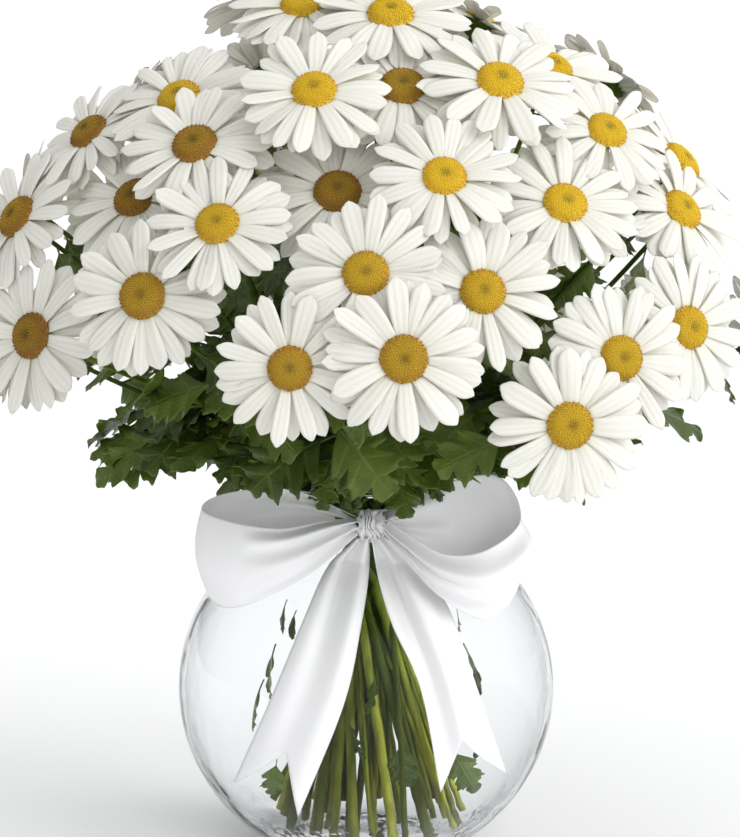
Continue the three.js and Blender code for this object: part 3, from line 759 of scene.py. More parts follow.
def seats_mesh(name, group, lift=0.0):
    """The carrier of some heads: a point for each, with its turn, size, painted light tone and number of
    petals.
    """
    dice = random.Random(len(name) + 40)
    points = [h["middle"] + h["facing"] * lift * h["size"] for h in group]
    values = {
        "turn": ("QUATERNION", "value", [h["turn"][:] for h in group]),
        "size": ("FLOAT", "value", [h["size"] for h in group]),
        "tone": ("FLOAT", "value", [h["tone"] for h in group]),
        "petals": ("INT", "value", [2 * dice.randint(12, 15) for _ in group]),
    }
    return mesh_of(name, points, [], values, smooth=False)


# %% [markdown]
# ## Discs
#
# The florets of a disc sit where each new one has the most room: every one is turned on from the last by
# the golden angle, and stands further out by the square root of its number. The tree `floret_disc` does
# just that, on a low cushion with a dimple, over a plain dome that closes the gaps. Florets near the rim
# are open, the inner ones buds.

# %% Floret and dome shapes
DISC_HEIGHT, DISC_DIMPLE = 4.3 * MM, 1.1 * MM
RIM_POWER, TOP_POWER, DIMPLE_SHARE = 2.6, 0.55, 0.2
DOME_SHARE, DOME_SUNK, DOME_SIDES = 0.89, 0.3 * MM, 28


def ring_points(radius, height, count, phase=0.0):
    angles = (np.arange(count) + phase) / count * 2 * math.pi
    return np.stack([radius * np.cos(angles), radius * np.sin(angles), 0 * angles + height], 1)


def ring_sides(rings, count):
    """The four-cornered faces between rings of count points each."""
    faces = []
    for r in range(rings - 1):
        for i in range(count):
            j = (i + 1) % count
            faces.append((r * count + i, r * count + j, (r + 1) * count + j, (r + 1) * count + i))
    return faces


def rings_mesh(name, rings, tip):
    """A closed shape from rings of equal count, with a flat face below and a point on top."""
    count, last = len(rings[0]), (len(rings) - 1) * len(rings[0])
    points = np.vstack([*rings, [tip]])
    faces = [tuple(range(count - 1, -1, -1)), *ring_sides(len(rings), count)]
    faces += [(last + i, last + (i + 1) % count, len(points) - 1) for i in range(count)]
    return mesh_of(name, points, faces)


def floret_mesh(name, rings, tip):
    """A five-sided floret from rings of (radius, height, share of a side turned), in millimetres."""
    rings = [ring_points(r * MM, z * MM, 5, turned) for r, z, turned in rings]
    return rings_mesh(name, rings, (0, 0, tip * MM))


def cushion(share):
    """Height of the disc at a share of its radius."""
    bulge = (1 - share**RIM_POWER) ** TOP_POWER
    return DISC_HEIGHT * bulge - DISC_DIMPLE * np.exp(-((share / DIMPLE_SHARE) ** 2))


bud = floret_mesh("bud", [(0.28, -0.5, 0), (0.42, 0.12, 0.5), (0.24, 0.34, 0)], 0.32)
open_floret = floret_mesh("open_floret", [(0.26, -0.5, 0), (0.46, 0.3, 0.5), (0.18, 0.3, 0)], 0.66)
florets = drawer("florets", [bud, open_floret])
dome_rings = []
for share in (1.0, 0.97, 0.9, 0.78, 0.6, 0.4, 0.2):
    sunk = 0.4 * MM if share == 1 else DOME_SUNK
    dome_rings.append(ring_points(DOME_SHARE * DISC_RADIUS * share, cushion(share) - sunk, DOME_SIDES))
dome = bpy.data.objects.new("dome", rings_mesh("dome", dome_rings, (0, 0, cushion(0.0) - DOME_SUNK)))

# %% [markdown]
# In the tree, `share` is how far out a floret stands, from 0 to 1. Its height follows the cushion, and it
# leans out more the nearer it is to the rim. The share, the disc's painted light tone and a random number are
# stored for the finish.

# %% Tree: floret disc
disc_tree, given = new_tree(
    "floret_disc",
    [
        ("Florets", "Collection", None),
        ("Dome", "Object", None),
        ("Count", "Int", 300),
        ("Radius", "Float", 0.87 * DISC_RADIUS),
        ("Height", "Float", DISC_HEIGHT),
        ("Dimple", "Float", DISC_DIMPLE),
        ("Seed", "Int", 3),
        ("Material", "Material", None),
    ],
)
GOLDEN_ANGLE = math.pi * (3 - math.sqrt(5))
OPEN_FROM = 0.58
t, seed = disc_tree, given["Seed"]
turn, size, tone = read(t, "turn", "QUATERNION"), read(t, "size"), read(t, "tone")
copies, number = copied(t, given["Geometry"], given["Count"])
share = maths(t, "SQRT", maths(t, "DIVIDE", maths(t, "ADD", number, 0.5), given["Count"]))
golden = maths(t, "ADD", maths(t, "MULTIPLY", number, GOLDEN_ANGLE), chance(t, -0.045, 0.045, seed))
reach = maths(t, "MULTIPLY", share, given["Radius"])
bulge = maths(t, "POWER", maths(t, "SUBTRACT", 1.0, maths(t, "POWER", share, RIM_POWER)), TOP_POWER)
sunk = maths(t, "MULTIPLY", maths(t, "POWER", maths(t, "DIVIDE", share, DIMPLE_SHARE), 2.0), -1.0)
sunk = maths(t, "MULTIPLY", maths(t, "EXPONENT", sunk), given["Dimple"])
up = maths(t, "SUBTRACT", maths(t, "MULTIPLY", bulge, given["Height"]), sunk)
x = maths(t, "MULTIPLY", reach, maths(t, "COSINE", golden))
y = maths(t, "MULTIPLY", reach, maths(t, "SINE", golden))
offset = add(t, "FunctionNodeRotateVector", {0: scaled(t, vector_of(t, x, y, up), size), 1: turn}).outputs[0]
placed = add(t, "GeometryNodeSetPosition", {"Geometry": copies, "Offset": offset}).outputs[0]
lean = maths(t, "MULTIPLY", maths(t, "POWER", share, 3.0), 1.25)
opened = maths(t, "GREATER_THAN", maths(t, "ADD", share, chance(t, -0.08, 0.08, seed)), OPEN_FROM)
fullness = maths(t, "MULTIPLY", chance(t, 0.8, 1.15, seed), size)
standing = stood_on(t, placed, given["Florets"], opened, turned_in(t, turn, 0.0, lean, golden), fullness)
standing = keep(t, standing, "floret", vector_of(t, share, tone, chance(t, 0.0, 1.0, seed)))
source = add(t, "GeometryNodeObjectInfo", {"Object": given["Dome"]}).outputs["Geometry"]
inputs = {"Points": given["Geometry"], "Instance": source, "Rotation": turn, "Scale": size}
domes = add(t, "GeometryNodeInstanceOnPoints", inputs).outputs[0]
domes = keep(t, domes, "floret", vector_of(t, 0.8, tone, 1.0))
both = add(t, "GeometryNodeJoinGeometry")
t.links.new(standing, both.inputs[0])
t.links.new(domes, both.inputs[0])
end_tree(t, both.outputs[0], given["Material"])
print("floret disc:", len(t.nodes), "nodes")

# %% [markdown]
# Heads in the sun at the upper right are painted with the yellowest, most lit disc colours, and those at
# the left and low down are painted browner, in shade. The tone of each disc follows its place, and a few
# that lie deeper in the bunch, in the shade of others, get more painted shade still.

# %% Grow every head
# Heads in the shade of others: their discs get painted shade, browner.
SHADED_HEADS = {"disc_right_high_1", "disc_crown_2", "disc_left_low_3", "disc_left_low_4", "disc_left_side_3"}
SHADE_BY, HEADS_A_PIECE = 0.75, 6


def painted_disc_light(head):
    """How brightly a disc is painted as lit, from 0 for brown shade to 1 for bright yellow light."""
    x, _, z = head["middle"]
    # Painted light and shade: higher and further right is brighter, and far left is darker.
    risen = held((z - 0.26) / 0.08)
    tone = 0.3 + 0.6 * risen + 3.6 * max(x, 0.0) - 6.0 * max(-x - 0.06, 0.0)
    tone -= SHADE_BY if head["node"] in SHADED_HEADS else 0.0
    return held(tone)


def grow_heads(label, group, seed, nodes_of_rays, nodes_of_discs):
    for head in group:
        head["tone"] = painted_disc_light(head)
    values = {"Petals": petals, "Seed": seed, "Material": petal_white}
    rays = grown(f"petals_{label}", ring_tree, seats_mesh(label, group), values)
    stand_for(rays, nodes_of_rays)
    values = {"Florets": florets, "Dome": dome, "Seed": seed, "Material": disc_gold}
    discs = grown(f"discs_{label}", disc_tree, seats_mesh(label, group, GAP), values)
    stand_for(discs, nodes_of_discs)


for number, (name, group) in enumerate(heads.items()):
    grow_heads(name, group, 17 + 10 * number, [f"rays_{name}"], [h["node"] for h in group])
for number in range(BACK_COUNT // HEADS_A_PIECE):
    group = back_heads[HEADS_A_PIECE * number : HEADS_A_PIECE * (number + 1)]
    nodes = [h["node"] for h in group]
    grow_heads(f"back_{number + 1}", group, 91 + 10 * number, nodes, nodes)

# %% [markdown]
# ## Stems
#
# The stems of a hand-tied bunch lean past each other in a spiral, closest at the neck. Fourteen carry the
# sprays and shoots. Their lines come from the same few numbers as the solids: where the waist is, how wide
# it is and how far the stems lean. Many thinner ones stand among them, as in any full bunch. A tree sweeps
# a round section along each line.

# %% Stem lines
STEM_COUNT, FIRST_TURN, WAIST_Z, WAIST_RADIUS = 14, -150.0, 140.0, 8.6
SLOPE, BRANCH_Z, SPACING, FOOT_Z = 0.32, 212.0, 6.0, 7.4
DOME_WIDE, DOME_FRONT, DOME_BACK = 180.0, 165.0, 132.0
SHOOT_TURNS = [-82, -30, 52, 128, 205]
BACK_STEMS = [(80, 140), (140, 205), (205, 280)]


def turn_of(head, behind):
    """Degrees round the dome from the front, positive to the right, as the heads are set out."""
    x, y, _ = head["middle"] / MM
    angle = math.degrees(math.atan2(x / DOME_WIDE, -y / (DOME_BACK if behind else DOME_FRONT)))
    return angle + 360 if behind and angle < 0 else angle


def stem_line(place):
    """The place of a main stem at any height, in millimetres."""
    turn = math.radians(FIRST_TURN + 360 * place / STEM_COUNT)
    out = np.array([math.sin(turn), -math.cos(turn), 0])
    aside = np.array([-out[1], out[0], 0]) * WAIST_RADIUS
    return lambda z: aside + out * (z - WAIST_Z) * SLOPE + np.array([0, 0, z])


sprays = [(group, [turn_of(h, False) for h in group]) for group in heads.values()]
for low, high in BACK_STEMS:
    members = [(h, turn_of(h, True)) for h in back_heads]
    members = [(h, turn) for h, turn in members if low <= turn < high]
    sprays.append(([h for h, _ in members], [turn for _, turn in members]))
order = sorted([sum(turns) / len(turns) for _, turns in sprays] + SHOOT_TURNS)
print("bearings:", [round(b) for b in order])

# %% [markdown]
# The tree `swept_stems` makes a curve of each line and sweeps a round section along it. The thickness is
# read from the line's points, so that a stem can taper.

# %% Tree: swept stems
sweep_tree, given = new_tree("swept_stems", [("Sides", "Int", 10), ("Material", "Material", None)])
t = sweep_tree
curve = add(t, "GeometryNodeMeshToCurve", {"Mesh": given["Geometry"]}).outputs[0]
circle = add(t, "GeometryNodeCurvePrimitiveCircle", {"Resolution": given["Sides"], "Radius": 1.0}).outputs[0]
inputs = {"Curve": curve, "Profile Curve": circle, "Scale": read(t, "thick"), "Fill Caps": True}
tube = add(t, "GeometryNodeCurveToMesh", inputs).outputs[0]
smooth = add(t, "GeometryNodeSetShadeSmooth", {"Geometry": tube}).outputs[0]
end_tree(t, smooth, given["Material"])
print("swept stems:", len(t.nodes), "nodes")


def swept(name, lines, sides):
    """A piece from lines, each a list of (place in millimetres, radius in millimetres)."""
    points, edges, thick, tone = [], [], [], []
    dice = random.Random(len(lines))
    for line in lines:
        first = len(points)
        tone += [dice.random()] * len(line)
        points += [tuple(np.asarray(p) * MM) for p, _ in line]
        thick += [r * MM for _, r in line]
        edges += [(first + i, first + i + 1) for i in range(len(line) - 1)]
    mesh = bpy.data.meshes.new(name)
    mesh.from_pydata(points, edges, [])
    for key, values in (("thick", thick), ("tone", tone)):
        mesh.attributes.new(key, "FLOAT", "POINT").data.foreach_set("value", values)
    return grown(name, sweep_tree, mesh, {"Sides": sides, "Material": stem_green})


def bowed(start, end, sag, steps, radii, wobble=0.0, seed=0):
    """A line from start to end that bends aside by sag, as (place, radius)."""
    dice = random.Random(seed)
    start, end, sag = (np.asarray(p, float) for p in (start, end, sag))
    side = np.array([dice.uniform(-1, 1), dice.uniform(-1, 1), 0]) * wobble
    line = []
    for i in range(steps + 1):
        t = i / steps
        place = start + (end - start) * t + (sag + side) * 4 * t * (1 - t)
        line.append((place, radii[0] + (radii[1] - radii[0]) * t))
    return line


# %% [markdown]
# The main stems follow the solids. The thinner ones cross at the neck, each from its own side to about the
# opposite one. A stalk leaves its stem below the flowers, higher for a higher head, and rises to the neck
# of that head.

# %% Grow the stems and stalks
EXTRA_STEMS = 48
BRANCH_LOW, NECK_LONG = 4.0, 7.0
dice = random.Random(5)
main_stems, stalks = [], []
for place in range(STEM_COUNT):
    line = stem_line(place)
    foot = FOOT_Z + 5 * place % 13
    main_stems.append(bowed(line(foot), line(BRANCH_Z), (0, 0, 0), 14, (2.35, 1.9), 1.2, place))
for extra in range(EXTRA_STEMS):
    turn = 2 * math.pi * extra / EXTRA_STEMS + dice.uniform(-0.2, 0.2)
    across = turn + dice.uniform(-2.0, 2.0)
    foot, waist = dice.uniform(10, 46), dice.uniform(1, 8)
    low = np.array([foot * math.sin(turn), -foot * math.cos(turn), FOOT_Z + dice.uniform(0, 20)])
    middle = np.array([-waist * math.sin(across), waist * math.cos(across), WAIST_Z])
    top = middle + (middle - low) * dice.uniform(0.3, 0.5)
    thick = dice.uniform(0.9, 2.0)
    main_stems.append(bowed(low, top, (0, 0, 0), 12, (thick, 0.8 * thick), 4.5, 50 + extra))

for group, turns in sprays:
    line = stem_line(order.index(sum(turns) / len(turns)))
    for head, turn in zip(group, turns):
        above = sum(1 for other in group if other["middle"].z > head["middle"].z + 1e-5)
        start = line(BRANCH_Z - BRANCH_LOW - above * SPACING)
        middle, facing = np.array(head["middle"]) / MM, np.array(head["facing"])
        neck = middle - facing * (1.2 * head["size"] + NECK_LONG)
        sag = np.array([0, 0, -1.0]) * 3 + facing * 2
        stalk = bowed(start, neck, sag, 12, (1.6, 1.05), 1.5, int(turn) + 400)
        stalk.append((middle - facing * 3.2, 1.4))
        stalks.append(stalk)
stand_for(swept("stems_in_water", main_stems, 12), ["leafy_stems"])
stand_for(swept("flower_stalks", stalks, 8), ["leafy_stems"])

# %% [markdown]
# Behind the petals each head has a green cup of narrow scales. It is made once, as a bowl with scales laid
# over it, and stood behind every head by a small tree that places shapes on points. The same tree sets out
# the leaves.

# %% Tree: shapes set out on points
set_tree, given = new_tree("set_out", [("Shapes", "Collection", None), ("Material", "Material", None)])
t = set_tree
which, turn, size = read(t, "pick", "INT"), read(t, "turn", "QUATERNION"), read(t, "size")
end_tree(t, stood_on(t, given["Geometry"], given["Shapes"], which, turn, size), given["Material"])
print("set out:", len(t.nodes), "nodes")


def set_out(name, places, shapes, material):
    """A piece with a shape on each place: (point in metres, quaternion, size, which shape)."""
    points, turns, sizes, picks = zip(*places)
    values = {
        "turn": ("QUATERNION", "value", [q[:] for q in turns]),
        "size": ("FLOAT", "value", sizes),
        "pick": ("INT", "value", picks),
    }
    carrier = mesh_of(name, points, [], values, smooth=False)
    return grown(name, set_tree, carrier, {"Shapes": shapes, "Material": material})


# %% Green cups behind the heads
CUP_RADIUS, CUP_DEPTH, CUP_FOOT, CUP_SCALES = 8.6, 7.2, 1.9, 16


def cup_mesh():
    rings, count = [], 2 * CUP_SCALES
    for share in (0.0, 0.15, 0.35, 0.6, 0.85, 1.0):
        radius = CUP_FOOT + (CUP_RADIUS - CUP_FOOT) * math.sin(share * math.pi / 2) ** 0.8
        scales = 0.22 * np.cos(np.arange(count) / count * 2 * math.pi * CUP_SCALES) * share
        ring = ring_points(1.0, -CUP_DEPTH * (1 - share) ** 1.2 - 1.1, count)
        ring[:, :2] *= (radius + scales)[:, None]
        rings.append(ring * MM)
    return rings_mesh("cup", rings, (0, 0, -0.9 * MM))


cups = drawer("cups", [cup_mesh()])
cup_places = [(h["middle"], h["turn"], h["size"], 0) for h in all_heads]
stand_for(set_out("green_cups", cup_places, cups, stem_green), ["leafy_stems"])

# %% [markdown]
# ## Leaves
#
# A daisy's leaf has a stalk, then a blade cut into broad lobes that point forward, each with a few teeth. A
# vein runs out to every lobe, so the mesh follows the veins: rows along the midrib, columns out from it in
# the veins' direction. How far a row reaches is one wave for the lobes with a finer one for the teeth. Each
# leaf is arched along its length, folded at the midrib and rippled at the edge.

# %% Leaf shapes
LEAF_LENGTH, BLADE_FROM, LEAF_KINDS = 54.0, 0.2, 9


def leaf_mesh(number):
    dice = random.Random(700 + number)
    rows, half_columns = 49, 5
    # The outline: u runs along the midrib, v along the blade, and reach is how far a row goes along its vein.
    u = np.linspace(0, 1, rows)
    v = np.clip((u - BLADE_FROM) / (1 - BLADE_FROM), 0, 1)
    lobes = dice.choice((2.7, 2.75, 3.6))
    broad, depth = dice.uniform(0.36, 0.44), dice.uniform(0.42, 0.58)
    body = np.sin(np.pi * np.clip(v, 0, 1) ** 0.72) ** 0.62 * np.clip(v * 9, 0, 1)
    wave = (0.5 - 0.5 * np.cos(2 * np.pi * lobes * v)) ** 0.42
    teeth = 1 + 0.075 * np.cos(2 * np.pi * (3 * lobes * v + 0.5)) + 0.02 * np.cos(2 * np.pi * 7.3 * v)
    reach = LEAF_LENGTH * broad * body * (1 - depth + depth * wave) * teeth * (1 - 0.25 * v)
    reach = reach + 0.8 * (1 - 0.9 * u)
    lean = math.radians(dice.uniform(52, 60))
    # The form: folded at the midrib, rippled at the edge, twisted, and arched along its length.
    arch, fold = dice.uniform(0.15, 0.95), dice.uniform(0.05, 0.3)
    twist = dice.uniform(-0.4, 0.4)
    shares = np.linspace(-1, 1, 2 * half_columns - 1)
    upper = []
    for i, a in enumerate(u):
        for share in shares:
            side = reach[i] * abs(share)
            x = LEAF_LENGTH * a + side * math.cos(lean)
            y = math.copysign(side * math.sin(lean), share)
            ripple = 1.5 * math.sin(2 * math.pi * lobes * v[i] + 1.5 * share + number)
            ripple = ripple * share**2 * min(1, side / 8)
            z = -fold * side + ripple + twist * y * a + 0.008 * side**2
            bend = arch * x / LEAF_LENGTH
            along, drop = LEAF_LENGTH * math.sin(bend) / arch, LEAF_LENGTH * (1 - math.cos(bend)) / arch
            upper.append((along + z * math.sin(bend), y, -drop + z * math.cos(bend)))
    upper = np.array(upper)
    stalk = np.repeat(1.1 * (1 - np.clip(v * 6, 0, 1)), len(shares))
    thick = np.tile(0.45 - 0.22 * np.abs(shares), rows) + stalk
    lower = upper - np.stack([0 * thick, 0 * thick, thick], 1)
    points, faces = closed_sheet(upper * MM, lower * MM, rows, len(shares))
    facts = [np.repeat(u, len(shares)), np.tile(np.abs(shares), rows), np.full(len(upper), dice.random())]
    leaf = np.tile(np.stack(facts, 1), (2, 1))
    return mesh_of(f"leaf_{number}", points, faces, {"leaf": ("FLOAT_VECTOR", "vector", leaf)})


leaf_shapes = drawer("leaf_shapes", [leaf_mesh(i) for i in range(LEAF_KINDS)])

# %% [markdown]
# A leaf is set by three things: where its stalk starts, where its tip points, and which way its upper face
# looks. Leaves turn their faces outwards and up, to the light, whatever way they point. A leaf in front
# whose tip would hang below `BOW_TOP` is lifted. Over the knot the tips may hang a little lower.

# %% Where a leaf points
UPRIGHT = Vector((0, 0, 1))
BOW_TOP, BOW_FRONT, KNOT_HALF_WIDE, KNOT_LOWER = 205.0, -28.0, 16, 18


def around(turn):
    """Directions out from the bunch's axis and to the right along the ring, at a turn in degrees."""
    angle = math.radians(turn)
    return Vector((math.sin(angle), -math.cos(angle), 0)), Vector((math.cos(angle), math.sin(angle), 0))


def leaf_aim(pointing, looking):
    x = pointing.normalized()
    z = (looking - x * looking.dot(x)).normalized()
    return Matrix((x, z.cross(x), z)).transposed().to_quaternion()


def leaf_at(point, pointing, looking, size, dice):
    shake = Vector([dice.uniform(-0.22, 0.22) for _ in range(3)])
    pointing = (pointing + shake).normalized()
    length = LEAF_LENGTH * size
    tip = point + pointing * length
    if tip.y < BOW_FRONT and point.z > BOW_TOP - 8:
        lowest = BOW_TOP - KNOT_LOWER * (abs(tip.x) < KNOT_HALF_WIDE)
        pointing.z += max(0.0, lowest - tip.z) / length
    return point * MM, leaf_aim(pointing, looking + shake), size, dice.randrange(LEAF_KINDS)


# %% [markdown]
# The collar of leaves sits between the flowers and the bowl. Its leaves start near the stems, point every
# way round, and hang a little. In front they stop above the bow.

# %% The collar of leaves
LIP_LEAVES = 9
TUCKED = [
    # turn, height, fall, size
    (-4, 198, 0.85, 0.5),
    (16, 198, 1.0, 0.62),
    (30, 196, 0.4, 0.5),
    (-20, 197, 0.5, 0.5),
]
COLLAR = [
    # count, height, reach, outward, downward, size
    (20, 196, 30, 0.55, 0.15, 0.78),
    (22, 206, 42, 0.6, 0.3, 0.9),
    (24, 218, 50, 0.6, 0.4, 0.95),
    (22, 232, 56, 0.6, 0.35, 0.95),
    (18, 250, 58, 0.6, 0.15, 0.9),
    (12, 272, 54, 0.5, -0.2, 0.85),
]


def collar_leaves():
    leaves = []
    for layer, (count, height, reach, outward, downward, size) in enumerate(COLLAR):
        dice = random.Random(60 + layer)
        for i in range(count):
            out, along = around(360 * (i + 0.5 * (layer % 2)) / count + dice.uniform(-7, 7))
            point = out * (reach + dice.uniform(-8, 8)) + UPRIGHT * (height + dice.uniform(-6, 6))
            aside = dice.choice((-1, 1)) * dice.uniform(0.3, 1.0)
            pointing = out * outward + along * aside - UPRIGHT * (downward + dice.uniform(-0.35, 0.35))
            looking = out * 0.85 + UPRIGHT * 0.6
            leaves.append(leaf_at(point, pointing, looking, size * dice.uniform(0.85, 1.1), dice))
    dice = random.Random(31)
    for i in range(LIP_LEAVES):
        out, along = around(-52 + 104 * i / (LIP_LEAVES - 1) + dice.uniform(-4, 4))
        point = out * 30 + UPRIGHT * (201 + dice.uniform(-3, 5))
        pointing = out * 0.85 + along * dice.uniform(-0.5, 0.5) - UPRIGHT * dice.uniform(0.15, 0.42)
        leaves.append(leaf_at(point, pointing, out * 0.6 + UPRIGHT * 0.9, dice.uniform(0.55, 0.72), dice))
    for turn, height, fall, size in TUCKED:
        out, _ = around(turn)
        pointing = out * 0.55 - UPRIGHT * fall
        leaves.append(leaf_at(out * 42 + UPRIGHT * height, pointing, out + UPRIGHT * 0.5, size, dice))
    return leaves


# %% [markdown]
# Leafy shoots without flowers lean out over the bowl's lip, most of all on the left. Each is a thin stem
# with leaves on alternate sides and one at its end.

# %% Shoots
SHOOTS = [
    # height of the tip, reach of the tip, leaf size, leaves, in the order of SHOOT_TURNS
    (206, 86, 1.02, 9),
    (198, 62, 0.9, 6),
    (200, 64, 0.9, 6),
    (198, 74, 1.0, 8),
    (198, 74, 1.0, 8),
]


def shoot_leaves():
    leaves, stems = [], []
    for number, (turn, (tip_z, reach, size, count)) in enumerate(zip(SHOOT_TURNS, SHOOTS)):
        dice = random.Random(90 + number)
        out, along = around(turn)
        start = Vector(stem_line(order.index(turn))(BRANCH_Z - BRANCH_LOW))
        line = bowed(start, out * reach + UPRIGHT * tip_z, (0, 0, 9), 12, (1.7, 1.1))
        stems.append(line)
        for i in range(count):
            t = 0.42 + 0.58 * i / (count - 1)
            point = Vector(line[round(t * 12)][0])
            side = (-1) ** i * (1 - t) * 1.5
            pointing = out * 0.8 + along * side - UPRIGHT * dice.uniform(0.0, 0.5)
            looking = out * 0.35 + UPRIGHT * 0.75 + VIEWER * 0.45
            leaves.append(leaf_at(point, pointing, looking, size * dice.uniform(0.85, 1.05), dice))
    return leaves, stems


# %% [markdown]
# The flower stalks carry leaves too, smaller ones higher up and larger ones on the lower heads' stalks.
# They fill the gaps between the heads with green. The topmost ones turn back a little, so that none of them
# grows through the flower it belongs to.

# %% Leaves on the stalks
ALONG_STALK = [
    # place along the stalk, leaf size, how far it points on along the stalk
    (0.28, 0.85, 0.5),
    (0.45, 0.8, 0.5),
    (0.62, 0.75, 0.5),
    (0.76, 0.6, -0.1),
    (0.88, 0.5, -0.1),
]
HIGH_HEAD, LOW_LARGER = 290, 1.3


def stalk_leaves():
    leaves = []
    for number, stalk in enumerate(stalks):
        dice = random.Random(200 + number)
        larger = LOW_LARGER if stalk[-1][0][2] < HIGH_HEAD else 1.0
        for t, size, ahead in ALONG_STALK:
            size *= larger if t < 0.8 else 1.0
            step = round(t * (len(stalk) - 2))
            point, beyond = Vector(stalk[step][0]), Vector(stalk[step + 1][0])
            growth = (beyond - point).normalized()
            out = Vector((point.x, point.y, 0)).normalized()
            along = out.cross(UPRIGHT) * dice.uniform(-1, 1)
            pointing = growth * ahead + along + out * dice.uniform(-0.1, 0.5)
            pointing -= UPRIGHT * dice.uniform(0.0, 0.4)
            looking = out * 0.8 + UPRIGHT * 0.7
            leaves.append(leaf_at(point, pointing, looking, size * dice.uniform(0.8, 1.1), dice))
    return leaves


# %% [markdown]
# A few small leaves were left on below the water line, where the light catches them between the stems. The
# upper ones hang edge on to the viewer, and those below `LOW_LEAF` millimetres show their faces.

# %% Leaves in the water
LOW_LEAF = 66
SUNKEN = [
    # turn, reach, height, size
    (-66, 40, 122, 0.3),
    (-58, 38, 118, 0.26),
    (-75, 44, 100, 0.5),
    (-72, 50, 84, 0.46),
    (66, 46, 118, 0.22),
    (60, 52, 104, 0.5),
    (56, 60, 80, 0.52),
    (44, 54, 60, 0.52),
    (-50, 53, 52, 0.34),
    (30, 30, 60, 0.45),
    (-20, 24, 70, 0.45),
    (10, 22, 90, 0.4),
    (150, 40, 80, 0.4),
    (200, 46, 60, 0.4),
]


def sunken_leaves():
    dice = random.Random(77)
    leaves = []
    for turn, reach, height, size in SUNKEN:
        out, along = around(turn)
        pointing = out * 0.5 - UPRIGHT + along * dice.uniform(-0.15, 0.15)
        looking = RIGHT * (1 if turn > 0 else -1) - VIEWER * dice.uniform(0.0, 0.35)
        looking = looking if height > LOW_LEAF else VIEWER
        leaves.append(leaf_at(out * reach + UPRIGHT * height, pointing, looking, size, dice))
    return leaves


# %% [markdown]
# The leaves are grown in seven pieces, so that none of them is too heavy to handle.

# %% Grow the leaves
shoots, shoot_stems = shoot_leaves()
stand_for(swept("shoot_stems", shoot_stems, 8), ["leafy_stems"])
collar, on_stalks = collar_leaves(), stalk_leaves()
LEAF_GROUPS = {
    "leaves_collar_low": collar[:66],
    "leaves_collar_high": collar[66:],
    "leaves_shoots": shoots,
    "leaves_on_stalks_front": on_stalks[:70],
    "leaves_on_stalks_middle": on_stalks[70:140],
    "leaves_on_stalks_back": on_stalks[140:],
    "leaves_in_water": sunken_leaves(),
}
for name, group in LEAF_GROUPS.items():
    stand_for(set_out(name, group, leaf_shapes, leaf_green), ["leafy_stems"])

# %% [markdown]
# ## The bowl and its water
#
# A blown bowl is a solid of revolution, so its wall is one closed profile turned round: up the outside,
# over the rounded lip and down the inside. The numbers are the bowl's own, and the curve is smooth where
# the solid has facets. The water fills the inside to its level and climbs a little where it meets the
# glass.

# %% Bowl and water
BELLY_RADIUS, BELLY_HALF, BELLY_Z = 90.0, 87.0, 77.0
WALL, FLOOR_Z, NECK_RADIUS, NECK_FROM, NECK_TO = 3.0, 7.0, 44.0, 155.0, 174.0
LIP_RADIUS, BOWL_HEIGHT, WATER_LEVEL = 50.0, 180.0, 138.0
BOWL_SIDES = 128


def belly_arc(from_z, to_z, steps, inset):
    wide, half = BELLY_RADIUS - inset, BELLY_HALF - inset
    low, high = (math.asin((z - BELLY_Z) / half) for z in (from_z, to_z))
    return [(wide * math.cos(a), BELLY_Z + half * math.sin(a)) for a in np.linspace(low, high, steps + 1)]


def smooth_line(points, steps):
    """A Catmull-Rom curve through points of any dimension."""
    points = np.asarray(points, float)
    padded = np.vstack([2 * points[0] - points[1], points, 2 * points[-1] - points[-2]])
    line = []
    for t in np.linspace(0, len(points) - 1, steps + 1):
        i = min(int(t), len(points) - 2)
        f = t - i
        a, b, c, d = padded[i : i + 4]
        squared, cubed = 2 * a - 5 * b + 4 * c - d, 3 * b - a - 3 * c + d
        line.append(0.5 * (2 * b + (c - a) * f + squared * f**2 + cubed * f**3))
    return np.array(line)


def turned_mesh(name, profile):
    """A closed solid of revolution. The profile starts and ends on the axis, as (radius, height)."""
    rings = [ring_points(r * MM, z * MM, BOWL_SIDES) for r, z in profile if r > 1e-6]
    points = np.vstack([*rings, [(0, 0, profile[0][1] * MM)], [(0, 0, profile[-1][1] * MM)]])
    start, end, last = len(points) - 2, len(points) - 1, (len(rings) - 1) * BOWL_SIDES
    faces = ring_sides(len(rings), BOWL_SIDES)
    faces += [(start, (i + 1) % BOWL_SIDES, i) for i in range(BOWL_SIDES)]
    faces += [(end, last + i, last + (i + 1) % BOWL_SIDES) for i in range(BOWL_SIDES)]
    return mesh_of(name, points, faces)


outer = belly_arc(1.2, NECK_FROM - 3, 44, 0)
inner_wall = belly_arc(FLOOR_Z, NECK_FROM - 3, 40, WALL)[::-1]
neck = [
    outer[-1],
    (NECK_RADIUS, NECK_FROM + 1),
    (NECK_RADIUS, NECK_FROM + 8),
    (NECK_RADIUS, NECK_TO - 3),
    (NECK_RADIUS + 1.5, NECK_TO + 0.5),
    (LIP_RADIUS - 0.6, BOWL_HEIGHT - 2),
    (LIP_RADIUS, BOWL_HEIGHT - 1),
    (LIP_RADIUS - 0.6, BOWL_HEIGHT - 0.2),
    (LIP_RADIUS - WALL + 0.4, BOWL_HEIGHT - 0.3),
    (LIP_RADIUS - WALL, BOWL_HEIGHT - 1.2),
    (NECK_RADIUS - WALL + 1.4, NECK_TO + 0.5),
    (NECK_RADIUS - WALL, NECK_TO - 3),
    (NECK_RADIUS - WALL, NECK_FROM + 8),
    (NECK_RADIUS - WALL, NECK_FROM + 1),
    inner_wall[0],
]
neck = [tuple(p) for p in smooth_line(neck, 56)]
